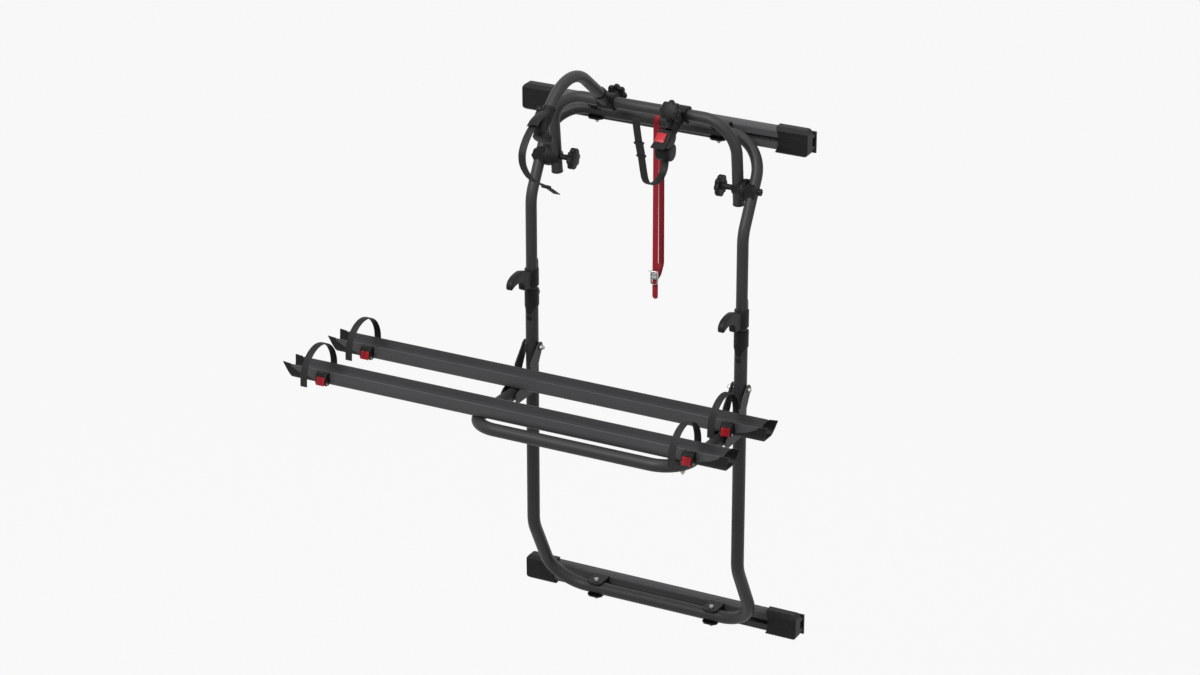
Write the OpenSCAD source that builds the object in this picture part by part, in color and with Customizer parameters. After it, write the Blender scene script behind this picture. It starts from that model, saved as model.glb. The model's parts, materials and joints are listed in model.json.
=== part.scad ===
// Folding bike rack for the rear wall of a motorhome, in millimetres.
// X runs along the wall rails, Y points into the wall (wall plane y = 0), Z is up.
// The origin is the middle of the four wall bolts. Each named part below is one module, drawn in
// place, and the tables and lengths it uses are named here so one change carries through.

/* [Wall rails] */
// Height of each rail's centre line above and below the origin
rail_z = 676; // [672:1:680]
// Half length of a wall rail
rail_half = 390; // [386:1:392]
// Height of the rail extrusion
rail_h = 57; // [56:0.5:58]
// Depth of the rail extrusion
rail_d = 26; // [25.5:0.1:26]
// Space between the wall and the back of a rail
rail_gap = 24; // [23.5:0.1:24]

/* [Rail end caps and wall brackets] */
// How far an end cap reaches in over the rail from its end
cap_in = 77; // [72:1:82]
// How far an end cap stands out past the rail's end
cap_out = 11.5; // [10:0.5:12.5]
// How much higher than the rail an end cap is
cap_h = 12; // [10:0.5:14]
// How far the front of a cap stands off the wall
cap_front = 54; // [53.5:0.1:55]
// Half distance between the two wall bolts of one rail
bolt_half_x = 362; // [358:1:366]
// Radius of a wall bolt hole
bolt_hole_r = 4.25; // [4:0.05:4.5]

/* [Frame tubes] */
// Half distance between the two upright tubes
leg_x = 298; // [296:0.5:300]
// How far the uprights stand off the wall
leg_y = 201.5; // [200:0.5:203]
// Outer radius of the lower frame tube
low_r = 16.8; // [16.7:0.05:16.85]
// Wall thickness of every tube
tube_wall = 1.8; // [1.7:0.05:1.8]
// Outer radius of the upper frame tube, which slides in the lower one
up_r = 14.7; // [14.6:0.05:14.75]
// Height of the lower frame tube's top
joint_z = 212; // [210:0.5:214]
// Height of the upper frame tube's bottom end
up_end_z = 100; // [95:1:105]
// Height where the uprights kink back to the lower rail
low_kink_z = -456; // [-462:1:-450]
// Height where the uprights kink back to the upper rail
up_kink_z = 470; // [466:1:474]
// Stand-off of the lower cross bar from the wall
low_bar_y = 86; // [85:0.5:87]
// Stand-off of the upper cross bar from the wall
up_bar_y = 80; // [79:0.5:81]
// Bend radius at the four frame corners
corner_r = 100; // [95:1:105]
// Bend radius at the kinks
kink_r = 90; // [85:1:95]

/* [Folding platform] */
// Height of the platform pivots
pivot_z = 55; // [53:0.5:57]
// Upward slope of the open platform in degrees
slope = 3.3; // [3.1:0.05:3.5]
// Height of the platform tube's centre line under the rear wheel channel
arm_z = -41; // [-42:0.25:-40]
// Stand-off of the platform's front bar from the wall
front_y = 552; // [549:1:555]
// Bend radius of the platform tube
arm_bend_r = 80; // [76:1:84]

/* [Wheel channels] */
// Left end of both channels
chan_left = -827; // [-833:1:-821]
// Right end of both channels
chan_right = 405; // [401:1:409]
// Stand-off of the rear channel's middle from the wall
rear_y = 288; // [287:0.5:289]
// Stand-off of the front channel's middle from the wall
fore_y = 509.5; // [507.5:0.5:511.5]
// Width of a channel over its top edges
chan_w = 64; // [63:0.5:65]
// Depth of a channel
chan_h = 37.5; // [37:0.25:38]
// Wall thickness of a channel
chan_t = 2.4; // [2.2:0.1:2.6]
// Length of a channel end cap along its bottom
tip_len = 62; // [58:1:66]
// How far the flared lip of an end cap reaches past its bottom
tip_flare = 23; // [21:0.5:24]

/* [Wheel straps and buckles] */
// Position of the left straps
strap_left = -735.5; // [-740:0.5:-730]
// Position of the right straps
strap_right = 309.6; // [309:0.1:309.8]
// Width of a wheel strap
strap_w = 16.5; // [16:0.1:17]
// Thickness of the straps
strap_t = 3; // [2.8:0.1:3.2]
// Radius of a wheel strap's arch
arch_r = 74; // [72:0.5:76]

/* [Bike holder bar] */
// Half distance between the legs of the holder bar
bar_x = 255.6; // [255:0.1:256.2]
// Outer radius of the holder bar and of both bike arms
bar_r = 14.6; // [14.5:0.05:14.65]
// Stand-off and height of the holder bar's cross piece
bar_y = 163; // [162:0.5:164]
// Height of the holder bar's cross piece
bar_z = 746; // [744:0.5:748]
// Stand-off of the clamp hinges from the wall
hinge_y = 143; // [142.5:0.1:143.5]
// Height of the clamp hinges
hinge_z = 567; // [565.5:0.25:568]
// Height of the holder bar's open leg ends
leg_end_z = 526; // [524:0.5:528]
// Bend radius of the holder bar
bar_bend_r = 90; // [86:1:94]

/* [Clamp hinges] */
// Radius of the toothed hinge discs
disc_r = 28; // [27:0.25:29]
// Teeth on each hinge disc
teeth = 24; // [20:2:28]
// Radius of the hinge knobs over their wings
knob_r = 29; // [28:0.25:30]

/* [Bike arms] */
// Position of the long arm along the holder bar
long_x = -98; // [-100:0.5:-96]
// Position of the short arm along the holder bar
short_x = 105; // [103:0.5:107]
// Stand-off of the long arm's holder from the wall
long_end_y = 504; // [502:0.5:506]
// Height of the long arm's holder
long_end_z = 791; // [789:0.5:793]
// Bend radius of the long arm
long_bend_r = 140; // [136:1:144]
// Length of the short arm from the holder bar's middle
short_len = 66; // [64:0.5:68]

/* [Hooks and sleeves] */
// Width of the hooks
hook_w = 24; // [23:0.25:25]
// How far a hook reaches out from its upright's centre
hook_reach = 128; // [126:0.5:130]
// Outer radius of the joint sleeves
sleeve_r = 19; // [18.8:0.05:19.2]

/* [Tie strap] */
// Position of the tie strap along the upper bar
tie_x = 4; // [2:0.5:6]
// Width of the tie strap
tie_w = 14.7; // [14.3:0.1:15.1]
// Height of the tie strap's buckle
tie_buckle_z = 263; // [260:1:266]
// Height of the tie strap's loose end
tie_end_z = 209; // [206:1:212]

/* [Hidden] */
$fn = 96;
over = 1; // overrun of a cut past the face it starts from
fit = 0.2; // clearance round parts fixed to each other
run = 0.3; // clearance round parts that move on each other
touch = 0.05; // clearance between a bolt and its hole

tube_grey = [0.27, 0.27, 0.28];
plastic_black = [0.09, 0.09, 0.095];
lever_red = [0.75, 0.1, 0.15];
webbing_red = [0.62, 0.05, 0.1];
bolt_grey = [0.7, 0.69, 0.67];

X = [1, 0, 0];
OUT = [0, -1, 0];
UP = [0, 0, 1];

function unit(v) = v / norm(v);
// The turn in degrees at b on the way from a to c
function turn(a, b, c) = acos(unit(b - a) * unit(c - b));
// How far before its corner a bend of radius r begins
function setback(a, b, c, r) = r * tan(turn(a, b, c) / 2);
function square_to(v) = unit(abs(v.z) < 0.9 ? cross(UP, v) : cross(X, v));

// Draws its child with x, y and z along the three given axes, from the point o
module place(o, x, y, z)
  multmatrix([[x.x, y.x, z.x, o.x], [x.y, y.y, z.y, o.y], [x.z, y.z, z.z, o.z], [0, 0, 0, 1]])
    children();

// A side outline (reach from the wall, height) given thickness w about the plane x
module side_on(x, w)
  place([x + w / 2, 0, 0], OUT, UP, -X) linear_extrude(w) children();

// A front outline (x, height) running back from reach y0 to reach y1
module front_on(y0, y1)
  place([0, -y0, 0], X, UP, OUT) linear_extrude(y1 - y0) children();

module rod(a, b, r) {
  u = unit(b - a);
  m = square_to(u);
  place(a, m, cross(u, m), u) cylinder(h = norm(b - a), r = r);
}

// The curved piece of a bend at b; its child is the section, n the normal of the bend's plane
module elbow(a, b, c, r, n) {
  u = unit(b - a);
  s = sign(cross(u, unit(c - b)) * n);
  m = cross(n, u) * s;
  place(b - u * setback(a, b, c, r) + m * r, -m, u, n * s)
    rotate_extrude(angle = turn(a, b, c)) translate([r, 0]) children();
}

lap = 0.3; // how far a straight runs into the bend next to it
slim = 0.02; // how much smaller a bend's section is, so its skin meets the straight's end face

// The end of the straight that leaves point i, and the one that reaches it
function leave(p, i, r) =
  i == 0 ? p[0] : p[i] + unit(p[i + 1] - p[i]) * (setback(p[i - 1], p[i], p[i + 1], r[i]) - lap);
function reach(p, i, r) =
  i == len(p) - 1 ? p[i] : p[i] - unit(p[i] - p[i - 1]) * (setback(p[i - 1], p[i], p[i + 1], r[i]) - lap);

// A round bar along the points p, with bend radius r[i] at point i
module bent_rod(p, r, size) {
  for (i = [0:len(p) - 2]) rod(leave(p, i, r), reach(p, i + 1, r), size);
  for (i = [1:1:len(p) - 2])
    elbow(p[i - 1], p[i], p[i + 1], r[i], unit(cross(p[i] - p[i - 1], p[i + 1] - p[i])))
      circle(size - slim);
}

// The same path with both ends carried on by the overrun
function longer(p) = concat(
  [p[0] + unit(p[0] - p[1]) * over],
  [for (i = [1:1:len(p) - 2]) p[i]],
  [p[len(p) - 1] + unit(p[len(p) - 1] - p[len(p) - 2]) * over]);

module bent_tube(p, r, size) {
  difference() {
    bent_rod(p, r, size);
    bent_rod(longer(p), r, size - tube_wall);
  }
}

// A flat strap along the points p, w wide across the normal n and t thick
module strap(p, r, w, t, n) {
  for (i = [0:len(p) - 2]) {
    a = leave(p, i, r);
    b = reach(p, i + 1, r);
    u = unit(p[i + 1] - p[i]);
    place(a, cross(n, u), n, u) linear_extrude(norm(b - a)) square([t, w], center = true);
  }
  for (i = [1:1:len(p) - 2]) elbow(p[i - 1], p[i], p[i + 1], r[i], n)
    square([t - slim, w - slim], center = true);
}

// Paths of the bent tubes
up_bar_rise = 8;
up_bar_z = rail_z + up_bar_rise;
low_bar_rise = 4.7;
low_bar_z = -rail_z + low_bar_rise;
low_path = [[leg_x, -leg_y, joint_z], [leg_x, -leg_y, low_kink_z], [leg_x, -low_bar_y, low_bar_z],
  [-leg_x, -low_bar_y, low_bar_z], [-leg_x, -leg_y, low_kink_z], [-leg_x, -leg_y, joint_z]];
up_path = [[leg_x, -leg_y, up_end_z], [leg_x, -leg_y, up_kink_z], [leg_x, -up_bar_y, up_bar_z],
  [-leg_x, -up_bar_y, up_bar_z], [-leg_x, -leg_y, up_kink_z], [-leg_x, -leg_y, up_end_z]];
frame_bends = [0, kink_r, corner_r, corner_r, kink_r, 0];

// Outline of the rail as shares of its depth and height
rail_share = [[0, -0.48], [0.86, -0.48], [1, -0.42], [1, -0.14], [0.865, -0.14], [0.865, -0.245],
  [0.38, -0.245], [0.38, 0.21], [0.865, 0.21], [0.865, 0.09], [1, 0.09], [1, 0.36], [0.95, 0.43],
  [0.84, 0.48], [0.66, 0.505], [0.4, 0.51], [0, 0.51]];

module wall_rail(z)
  translate([0, 0, z]) side_on(0, rail_half * 2)
    polygon([for (p = rail_share) [rail_gap + p.x * rail_d, p.y * rail_h]]);

module upper_wall_rail() color(tube_grey) wall_rail(rail_z);
module lower_wall_rail() color(tube_grey) wall_rail(-rail_z);

cap_start = rail_half - cap_in;
cap_end = rail_half + cap_out;
cap_high = rail_h + cap_h;
cap_corner = 12;
cap_bevel = 9;
cap_hollow_r = 60; // radius of the cap's concave inner edge
cap_hollow_dip = 9;
cap_lens_r = 60; // radius of the two arcs of the raised eye outline
cap_lens_in = 35;
cap_lens_x = rail_half - cap_lens_in;
cap_lens_off = 46;
cap_line = 1.6;
cap_relief = 0.8;
cap_back = 24;

module cap_front_outline()
  difference() {
    union() {
      translate([cap_start, -cap_high / 2]) square([cap_end - cap_start - cap_corner, cap_high]);
      translate([cap_start, -cap_high / 2 + cap_corner]) square([cap_end - cap_start, cap_high - cap_corner * 2]);
      for (s = [-1, 1]) translate([cap_end - cap_corner, s * (cap_high / 2 - cap_corner)]) circle(cap_corner);
    }
    translate([cap_start + cap_hollow_dip - cap_hollow_r, 0]) circle(cap_hollow_r);
  }

module cap_side_outline()
  polygon([[cap_back, -cap_high / 2], [cap_front - cap_bevel / 2, -cap_high / 2], [cap_front, -cap_high / 2 + cap_bevel / 2],
    [cap_front, cap_high / 2 - cap_bevel], [cap_front - cap_bevel, cap_high / 2], [cap_back, cap_high / 2]]);

module eye(grow)
  intersection() {
    translate([cap_lens_x, -cap_lens_off]) circle(cap_lens_r + grow);
    translate([cap_lens_x, cap_lens_off]) circle(cap_lens_r + grow);
  }

module rail_caps(z)
  translate([0, 0, z]) for (m = [0, 1]) mirror([m, 0, 0]) {
    difference() {
      intersection() {
        front_on(cap_back, cap_front) cap_front_outline();
        side_on((cap_start + cap_end) / 2, cap_end - cap_start + over * 2) cap_side_outline();
      }
      translate([cap_start - over, -rail_gap - rail_d - fit, -rail_h / 2 - fit])
        cube([rail_half + fit - cap_start + over, rail_d + fit + over * 2, rail_h + fit * 2 + over / 2]);
    }
    front_on(cap_front - over, cap_front + cap_relief)
      difference() { eye(0); eye(-cap_line); }
  }

module upper_rail_caps() color(plastic_black) rail_caps(rail_z);
module lower_rail_caps() color(plastic_black) rail_caps(-rail_z);

plate_t = 5;
plate_half_h = 28;
plate_drop = 8; // how far the plate's middle lies below its bolt hole
plate_in = 334;
plate_out = 402.5;
pad_t = 4;
pad_out = 386;
web_t = 7;
web_heights = [-19.5, 11];
web_in = 338;
web_out = 400;

module wall_brackets(z)
  translate([0, 0, z]) for (m = [0, 1]) mirror([m, 0, 0])
    difference() {
      union() {
        translate([plate_in, -plate_t, -plate_half_h - plate_drop])
          cube([plate_out - plate_in, plate_t, plate_half_h * 2]);
        translate([plate_in, -rail_gap, -rail_h / 2 + over]) cube([pad_out - plate_in, pad_t, rail_h - over * 2]);
        for (h = web_heights) translate([web_in, -rail_gap + fit, h - web_t / 2])
          cube([web_out - web_in, rail_gap - fit - over, web_t]);
      }
      translate([bolt_half_x, over, 0]) rotate([90, 0, 0]) cylinder(h = plate_t + over * 2, r = bolt_hole_r);
    }

module upper_wall_brackets() color(tube_grey) wall_brackets(rail_z);
module lower_wall_brackets() color(tube_grey) wall_brackets(-rail_z);

pivot_r = 4;
clamp_bolt_r = 4;
clamp_x = 171;
button_z = 139;

module lower_frame_tube() color(tube_grey)
  difference() {
    bent_tube(low_path, frame_bends, low_r);
    for (s = [-1, 1]) {
      rod([s * leg_x - low_r - over, -leg_y, pivot_z], [s * leg_x + low_r + over, -leg_y, pivot_z], pivot_r + touch);
      rod([s * clamp_x, -low_bar_y, low_bar_z - low_r - over], [s * clamp_x, -low_bar_y, low_bar_z + low_r + over],
        clamp_bolt_r + touch);
    }
  }

module upper_frame_tube() color(tube_grey)
  difference() {
    bent_tube(up_path, frame_bends, up_r);
    for (s = [-1, 1]) {
      rod([s * clamp_x, -up_bar_y, up_bar_z - up_r - over], [s * clamp_x, -up_bar_y, up_bar_z + up_r + over],
        clamp_bolt_r + touch);
      rod([s * (leg_x - up_r - over), -hinge_y, hinge_z], [s * (leg_x + up_r + over), -hinge_y, hinge_z],
        hinge_bolt_r + touch);
    }
  }

clamp_half = 21;
clamp_plate = 4.5;
clamp_nose = 20; // how far the plates reach past the bar's centre
clamp_chamfer = 9;
foot_h = 40;
key_h = 11;
key_d = 3.2;

// Fork that grips the cross bar at reach y and height z, of radius r, from the face of a rail
module bar_clamp(x, y, z, r) {
  face = rail_gap + rail_d;
  difference() {
    union() {
      for (s = [-1, 1]) translate([x, -face, z + s * (r + clamp_plate / 2) - clamp_plate / 2])
        linear_extrude(clamp_plate) polygon([[-clamp_half, 0], [-clamp_half, face - y - clamp_nose + clamp_chamfer],
          [-clamp_half + clamp_chamfer, face - y - clamp_nose], [clamp_half - clamp_chamfer, face - y - clamp_nose],
          [clamp_half, face - y - clamp_nose + clamp_chamfer], [clamp_half, 0]]);
      translate([x - clamp_half, -y, z - r]) cube([clamp_half * 2, y - face, r * 2]);
    }
    rod([x - clamp_half - over, -y, z], [x + clamp_half + over, -y, z], r);
    rod([x, -y, z - r - clamp_plate - over], [x, -y, z + r + clamp_plate + over], clamp_bolt_r + touch);
  }
}

// The key that seats a clamp in the rail's slot
module clamp_key(x, z)
  translate([x - clamp_half, -rail_gap - rail_d - over / 2, z - key_h / 2]) cube([clamp_half * 2, key_d + over / 2, key_h]);

slot_mid_share = -0.025;

module upper_bar_clamps() color(plastic_black) for (s = [-1, 1]) {
  bar_clamp(s * clamp_x, up_bar_y, up_bar_z, up_r);
  clamp_key(s * clamp_x, rail_z + slot_mid_share * rail_h);
}
module lower_bar_clamps() color(plastic_black) for (s = [-1, 1]) {
  bar_clamp(s * clamp_x, low_bar_y, low_bar_z, low_r);
  clamp_key(s * clamp_x, -rail_z + slot_mid_share * rail_h);
}

bolt_head_r = 7;
bolt_head_h = 5;
nut_r = 7.5;
nut_h = 6.5;
thread_end = 5;

// Bolt from a head at a to a nut at b, with its thread showing past the nut
module bolt(a, b, r) {
  u = unit(b - a);
  m = square_to(u);
  rod(a - u * bolt_head_h, b + u * (nut_h + thread_end), r);
  place(a - u * bolt_head_h, m, cross(u, m), u) cylinder(h = bolt_head_h, r1 = bolt_head_r - over, r2 = bolt_head_r);
  place(b, m, cross(u, m), u) linear_extrude(nut_h)
    polygon([for (i = [0:5]) [nut_r * cos(i * 60), nut_r * sin(i * 60)]]);
}

module upper_clamp_bolts() color(bolt_grey) for (s = [-1, 1])
  bolt([s * clamp_x, -up_bar_y, up_bar_z + up_r + clamp_plate], [s * clamp_x, -up_bar_y, up_bar_z - up_r - clamp_plate],
    clamp_bolt_r);
module lower_clamp_bolts() color(bolt_grey) for (s = [-1, 1])
  bolt([s * clamp_x, -low_bar_y, low_bar_z + low_r + clamp_plate],
    [s * clamp_x, -low_bar_y, low_bar_z - low_r - clamp_plate], clamp_bolt_r);

sleeve_low_z = 150;
sleeve_lip = 3;
sleeve_cut_r = 40; // radius that shapes the tongue at the sleeve's lower edge
sleeve_cut_x = 44;
sleeve_cut_z = 141;
boss_r = 7;
boss_reach = 24;
boss_top = 8;
boss_low = 40;

module sleeve(s) color(plastic_black)
  difference() {
    union() {
      rod([s * leg_x, -leg_y, sleeve_low_z], [s * leg_x, -leg_y, joint_z + sleeve_lip], sleeve_r);
      translate([s * leg_x - boss_r, -leg_y, joint_z - boss_low]) cube([boss_r * 2, boss_reach, boss_low - boss_top]);
      rod([s * leg_x - boss_r, -leg_y + boss_reach, joint_z - boss_top - boss_r],
        [s * leg_x + boss_r, -leg_y + boss_reach, joint_z - boss_top - boss_r], boss_r);
    }
    rod([s * leg_x, -leg_y, sleeve_low_z - over], [s * leg_x, -leg_y, joint_z], low_r);
    rod([s * leg_x, -leg_y, joint_z - over], [s * leg_x, -leg_y, joint_z + sleeve_lip + over], up_r + run);
    for (t = [-1, 1]) translate([s * leg_x + t * sleeve_cut_x, 0, sleeve_cut_z]) rotate([90, 0, 0])
      cylinder(h = leg_y * 2, r = sleeve_cut_r);
  }

module sleeve_left() sleeve(-1);
module sleeve_right() sleeve(1);

button_r = 7;
button_h = 2.6;
button_sink = 2;

module sleeve_buttons() color(plastic_black) for (s = [-1, 1])
  place([s * leg_x, -leg_y - low_r + button_sink, button_z], X, UP, OUT) difference() {
    union() {
      cylinder(h = button_sink + button_h / 2, r = button_r);
      translate([0, 0, button_sink + button_h / 2]) cylinder(h = button_h / 2, r1 = button_r, r2 = button_r - button_h / 2);
    }
    translate([0, 0, -low_r + button_sink]) rotate([90, 0, 0]) cylinder(h = button_r * 4, r = low_r, center = true);
  }

// Side outline of a hook: reach from the upright's centre as a share of its reach, height above
// the sleeve as a share of its height
hook_h = 75;
hook_share = [[0.14, 0.19], [0.28, 0.18], [0.36, 0.215], [0.46, 0.245], [0.462, 0.42], [0.5, 0.52],
  [0.57, 0.59], [0.66, 0.635], [0.76, 0.64], [0.86, 0.615], [0.93, 0.575], [0.98, 0.55], [1, 0.6],
  [1, 0.73], [0.97, 0.82], [0.9, 0.91], [0.8, 0.965], [0.68, 0.995], [0.54, 1], [0.43, 0.95],
  [0.31, 0.875], [0.2, 0.81], [0.14, 0.8]];
hook_low_z = 13;
hook_band_h = 46;
hook_band_r = 18.8;
hook_eye_r = 6;
hook_eye_reach = 42;
hook_eye_z = 46;
ear_t = 7.5;
ear_top = 80;
ear_low = 34;
ear_w = 15;
ear_reach = 15;
ear_lean = 9;
hook_base_z = joint_z;

module hook(s) color(plastic_black)
  translate([s * leg_x, -leg_y, hook_base_z]) difference() {
    union() {
      rod([0, 0, hook_low_z], [0, 0, hook_low_z + hook_band_h], hook_band_r);
      side_on(0, hook_w) polygon([for (p = hook_share) [p.x * hook_reach, p.y * hook_h]]);
      side_on(0, ear_w) polygon([[-ear_reach, ear_low - ear_lean * 2], [-ear_reach - ear_lean, ear_low],
        [-ear_reach - ear_lean, ear_top], [-ear_reach - ear_lean + ear_t, ear_top],
        [-ear_reach - ear_lean + ear_t, ear_low + ear_lean], [-ear_reach + over, ear_low]]);
    }
    rod([0, 0, 0], [0, 0, hook_h * 2], up_r + run);
    rod([-hook_w, -hook_eye_reach, hook_eye_z], [hook_w, -hook_eye_reach, hook_eye_z], hook_eye_r);
  }

module hook_left() hook(-1);
module hook_right() hook(1);

// Folding platform: what sits on it leans with the slope of its tube
module on_slope(y, z) translate([0, -y, z]) rotate([-slope, 0, 0]) children();
function arm_at(y) = arm_z + (y - rear_y) * tan(slope);

bracket_t = 3;
bracket_in = 20.3; // inner face of a bracket plate from the upright's centre plane
pivot_eye_r = 14;
stop_gap = 0.15;
arm_back = leg_y + low_r + stop_gap + bracket_t + fit; // the platform tube begins behind the stop
// Outline of a bracket plate, outward of and above the pivot
plate_table = [[9.9, 9.9], [54, -35.5], [54.3, -50], [90, -72], [118, -80], [129, -87], [132, -97], [128, -107],
  [118, -113], [20.5, -113], [20, -62], [3.5, -33], [-13.4, -4]];
floor_out = 70;
floor_low = 115;

module pivot_plate()
  difference() {
    union() {
      polygon([for (p = plate_table) [leg_y + p.x, pivot_z + p.y]]);
      translate([leg_y, pivot_z]) circle(pivot_eye_r);
    }
    translate([leg_y, pivot_z]) circle(pivot_r + touch);
  }

// Two plates that straddle the upright, joined by a floor under the platform tube; the floor's
// inner edge is the stop that leans on the upright when the platform is open
module pivot_bracket(s) color(tube_grey)
  difference() {
    union() {
      for (t = [-1, 1]) side_on(s * leg_x + t * (bracket_in + bracket_t / 2), bracket_t) pivot_plate();
      side_on(s * leg_x, bracket_in * 2 + over) polygon([[leg_y + low_r + stop_gap, pivot_z - floor_low],
        [leg_y + floor_out, pivot_z - floor_low], [leg_y + floor_out, arm_at(leg_y + floor_out)],
        [leg_y + low_r + stop_gap, arm_at(leg_y + low_r)]]);
    }
    rod([s * leg_x, fit - arm_back, arm_at(arm_back - fit)], [s * leg_x, -front_y, arm_at(front_y)], low_r);
    side_on(s * leg_x, low_r * 2) polygon([[leg_y + low_r, arm_at(leg_y + low_r)],
      [leg_y + floor_out + over, arm_at(leg_y + floor_out)], [leg_y + floor_out + over, pivot_z], [leg_y + low_r, pivot_z]]);
    on_channel(rear_y) side_on(s * leg_x, bracket_in * 2 + bracket_t * 4) solid_section(fit, 0);
  }

module pivot_bracket_left() pivot_bracket(-1);
module pivot_bracket_right() pivot_bracket(1);

module pivot_bolts() color(bolt_grey) for (s = [-1, 1])
  bolt([s * (leg_x + bracket_in + bracket_t + run), -leg_y, pivot_z],
    [s * (leg_x - bracket_in - bracket_t - run), -leg_y, pivot_z], pivot_r);

arm_path = [[leg_x, -arm_back, arm_at(arm_back)], [leg_x, -front_y, arm_at(front_y)],
  [-leg_x, -front_y, arm_at(front_y)], [-leg_x, -arm_back, arm_at(arm_back)]];
channel_bolt_r = 3;
rear_bolt_x = leg_x;
// The front channel's bolts stand on the bends of the platform tube
fore_bolt_x = leg_x - arm_bend_r + sqrt(pow(arm_bend_r, 2) - pow(fore_y - front_y + arm_bend_r, 2));
channel_seat = [[rear_y, rear_bolt_x], [fore_y, fore_bolt_x]];

// Frame of a channel: across it and above the top of the tube that carries it
module on_channel(y) on_slope(y, arm_at(y)) translate([0, 0, low_r]) children();

module platform_tube() color(tube_grey)
  difference() {
    bent_tube(arm_path, [0, arm_bend_r, arm_bend_r, 0], low_r);
    for (c = channel_seat, s = [-1, 1]) on_channel(c.x)
      rod([s * c.y, 0, over], [s * c.y, 0, -low_r * 2 - over], channel_bolt_r + touch);
  }

// Outline of a channel as shares of its half width and height, without its top corners
chan_share = [[-1, 0.9], [-0.99, 0.5], [-0.95, 0.3], [-0.87, 0.13], [-0.74, 0.03], [-0.6, 0], [0.6, 0], [0.74, 0.03],
  [0.87, 0.13], [0.95, 0.3], [0.99, 0.5], [1, 0.9]];
slot_up = 9;
slot_deep = 14;
end_wall = 4; // the channel stops this far inside its end caps

function half_out(grow) = chan_w / 2 + grow;

// The channel's outline moved outward by grow, with its top raised by rise
module solid_section(grow, rise)
  polygon(concat([for (p = chan_share) [p.x * half_out(grow), p.y * (chan_h + grow) - grow]],
    [[half_out(grow), chan_h + rise], [-half_out(grow), chan_h + rise]]));

module channel_section()
  difference() {
    solid_section(0, 0);
    solid_section(-chan_t, over);
  }

module channel(y, bolt_x) color(tube_grey) on_channel(y)
  difference() {
    side_on((chan_left + chan_right) / 2, chan_right - chan_left - end_wall * 2) channel_section();
    for (x = [strap_left, strap_right]) side_on(x, strap_w + fit * 2)
      translate([-half_out(over), slot_up - strap_t / 2 - fit]) square([slot_deep, strap_t + fit * 2]);
    for (s = [-1, 1]) rod([s * bolt_x, 0, -over], [s * bolt_x, 0, chan_h], channel_bolt_r + touch);
  }

module rear_channel() channel(rear_y, rear_bolt_x);
module front_channel() channel(fore_y, fore_bolt_x);

tip_skin = 2.2;
tip_rise = 6;
tip_sweep_r = 46; // radius of the curved edge where a cap meets the channel's side
tip_back = 15;
// Bulging end of a cap as shares of its flare and height
tip_share = [[0, 0], [0.35, 0.1], [0.64, 0.28], [0.84, 0.54], [0.95, 0.8], [1, 1]];

// Side view of a flared end cap at the right end, in x and height
module tip_outline()
  difference() {
    polygon(concat([[chan_right - tip_len, -tip_skin]],
      [for (p = tip_share) [chan_right + p.x * tip_flare, -tip_skin + p.y * (chan_h + tip_rise + tip_skin)]],
      [[chan_right + tip_flare - tip_skin, chan_h + tip_rise + over], [chan_right - tip_back, chan_h + over],
        [chan_right - tip_len, chan_h + over]]));
    translate([chan_right - tip_len, tip_sweep_r - tip_skin / 2]) circle(tip_sweep_r);
  }

module tip_inside()
  polygon(concat([[chan_right - tip_len - over, 0]],
    [for (p = tip_share) [chan_right - end_wall + p.x * tip_flare, p.y * (chan_h + tip_rise + over * 2)]],
    [[chan_right - tip_len - over, chan_h + tip_rise + over * 2]]));

module tips(y) color(plastic_black) on_channel(y)
  for (m = [0, 1]) translate([m * (chan_left + chan_right), 0, 0]) mirror([m, 0, 0])
    difference() {
      intersection() {
        side_on(chan_right - tip_len / 2, tip_len * 2) solid_section(tip_skin, tip_rise + over * 2);
        front_on(-chan_w, chan_w) tip_outline();
      }
      side_on(chan_right - end_wall - tip_len, tip_len * 2) solid_section(0, tip_rise * 2);
      intersection() {
        side_on(chan_right - tip_len / 2, tip_len * 2) solid_section(-chan_t, tip_rise * 2);
        front_on(-chan_w, chan_w) tip_inside();
      }
    }

module rear_channel_tips() tips(rear_y);
module front_channel_tips() tips(fore_y);

channel_head_r = 6;
module channel_bolts() color(bolt_grey)
  for (c = channel_seat, s = [-1, 1]) on_channel(c.x) {
    rod([s * c.y, 0, chan_t + bolt_head_h / 2], [s * c.y, 0, -low_r * 2 - thread_end * 2], channel_bolt_r);
    rod([s * c.y, 0, chan_t], [s * c.y, 0, chan_t + bolt_head_h / 2], channel_head_r);
    rod([s * c.y, 0, -low_r * 2], [s * c.y, 0, -low_r * 2 - thread_end], channel_head_r);
  }

// Wheel straps arch over the channel from a slot in its back wall; the loose end hangs in front
strap_top = 111.5;
strap_hang = 20;
strap_foot = 21;
foot_bend = 4;

module wheel_strap(x, y) color(plastic_black) on_channel(y) {
  back = -half_out(strap_t / 2 + fit);
  strap([[x, strap_foot, slot_up], [x, -back, slot_up], [x, -back, strap_top], [x, -back - arch_r * 2, strap_top],
    [x, -back - arch_r * 2, strap_hang]], [0, foot_bend, arch_r, arch_r, 0], strap_w, strap_t, X);
}

module rear_left_strap() wheel_strap(strap_left, rear_y);
module rear_right_strap() wheel_strap(strap_right, rear_y);
module front_left_strap() wheel_strap(strap_left, fore_y);
module front_right_strap() wheel_strap(strap_right, fore_y);

// Ratchet buckle on the front wall of a channel: outlines in reach and height of the channel
buckle_w = 26;
lever_w = 20;
buckle_table = [[20, 35], [34, 37], [43.5, 35.5], [49, 30], [50.5, 10], [47.5, 3], [16, 3]];
pocket_table = [[42, 30], [56, 30], [56, 1], [42, 1]];
lever_table = [[44.2, 9.9], [44.9, 29], [51.2, 27.6], [53, 13], [50, 9.9]];
lever_pin = [47, 9.9];
lever_pin_r = 1.5;
lever_eye_r = 3.8;

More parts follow.
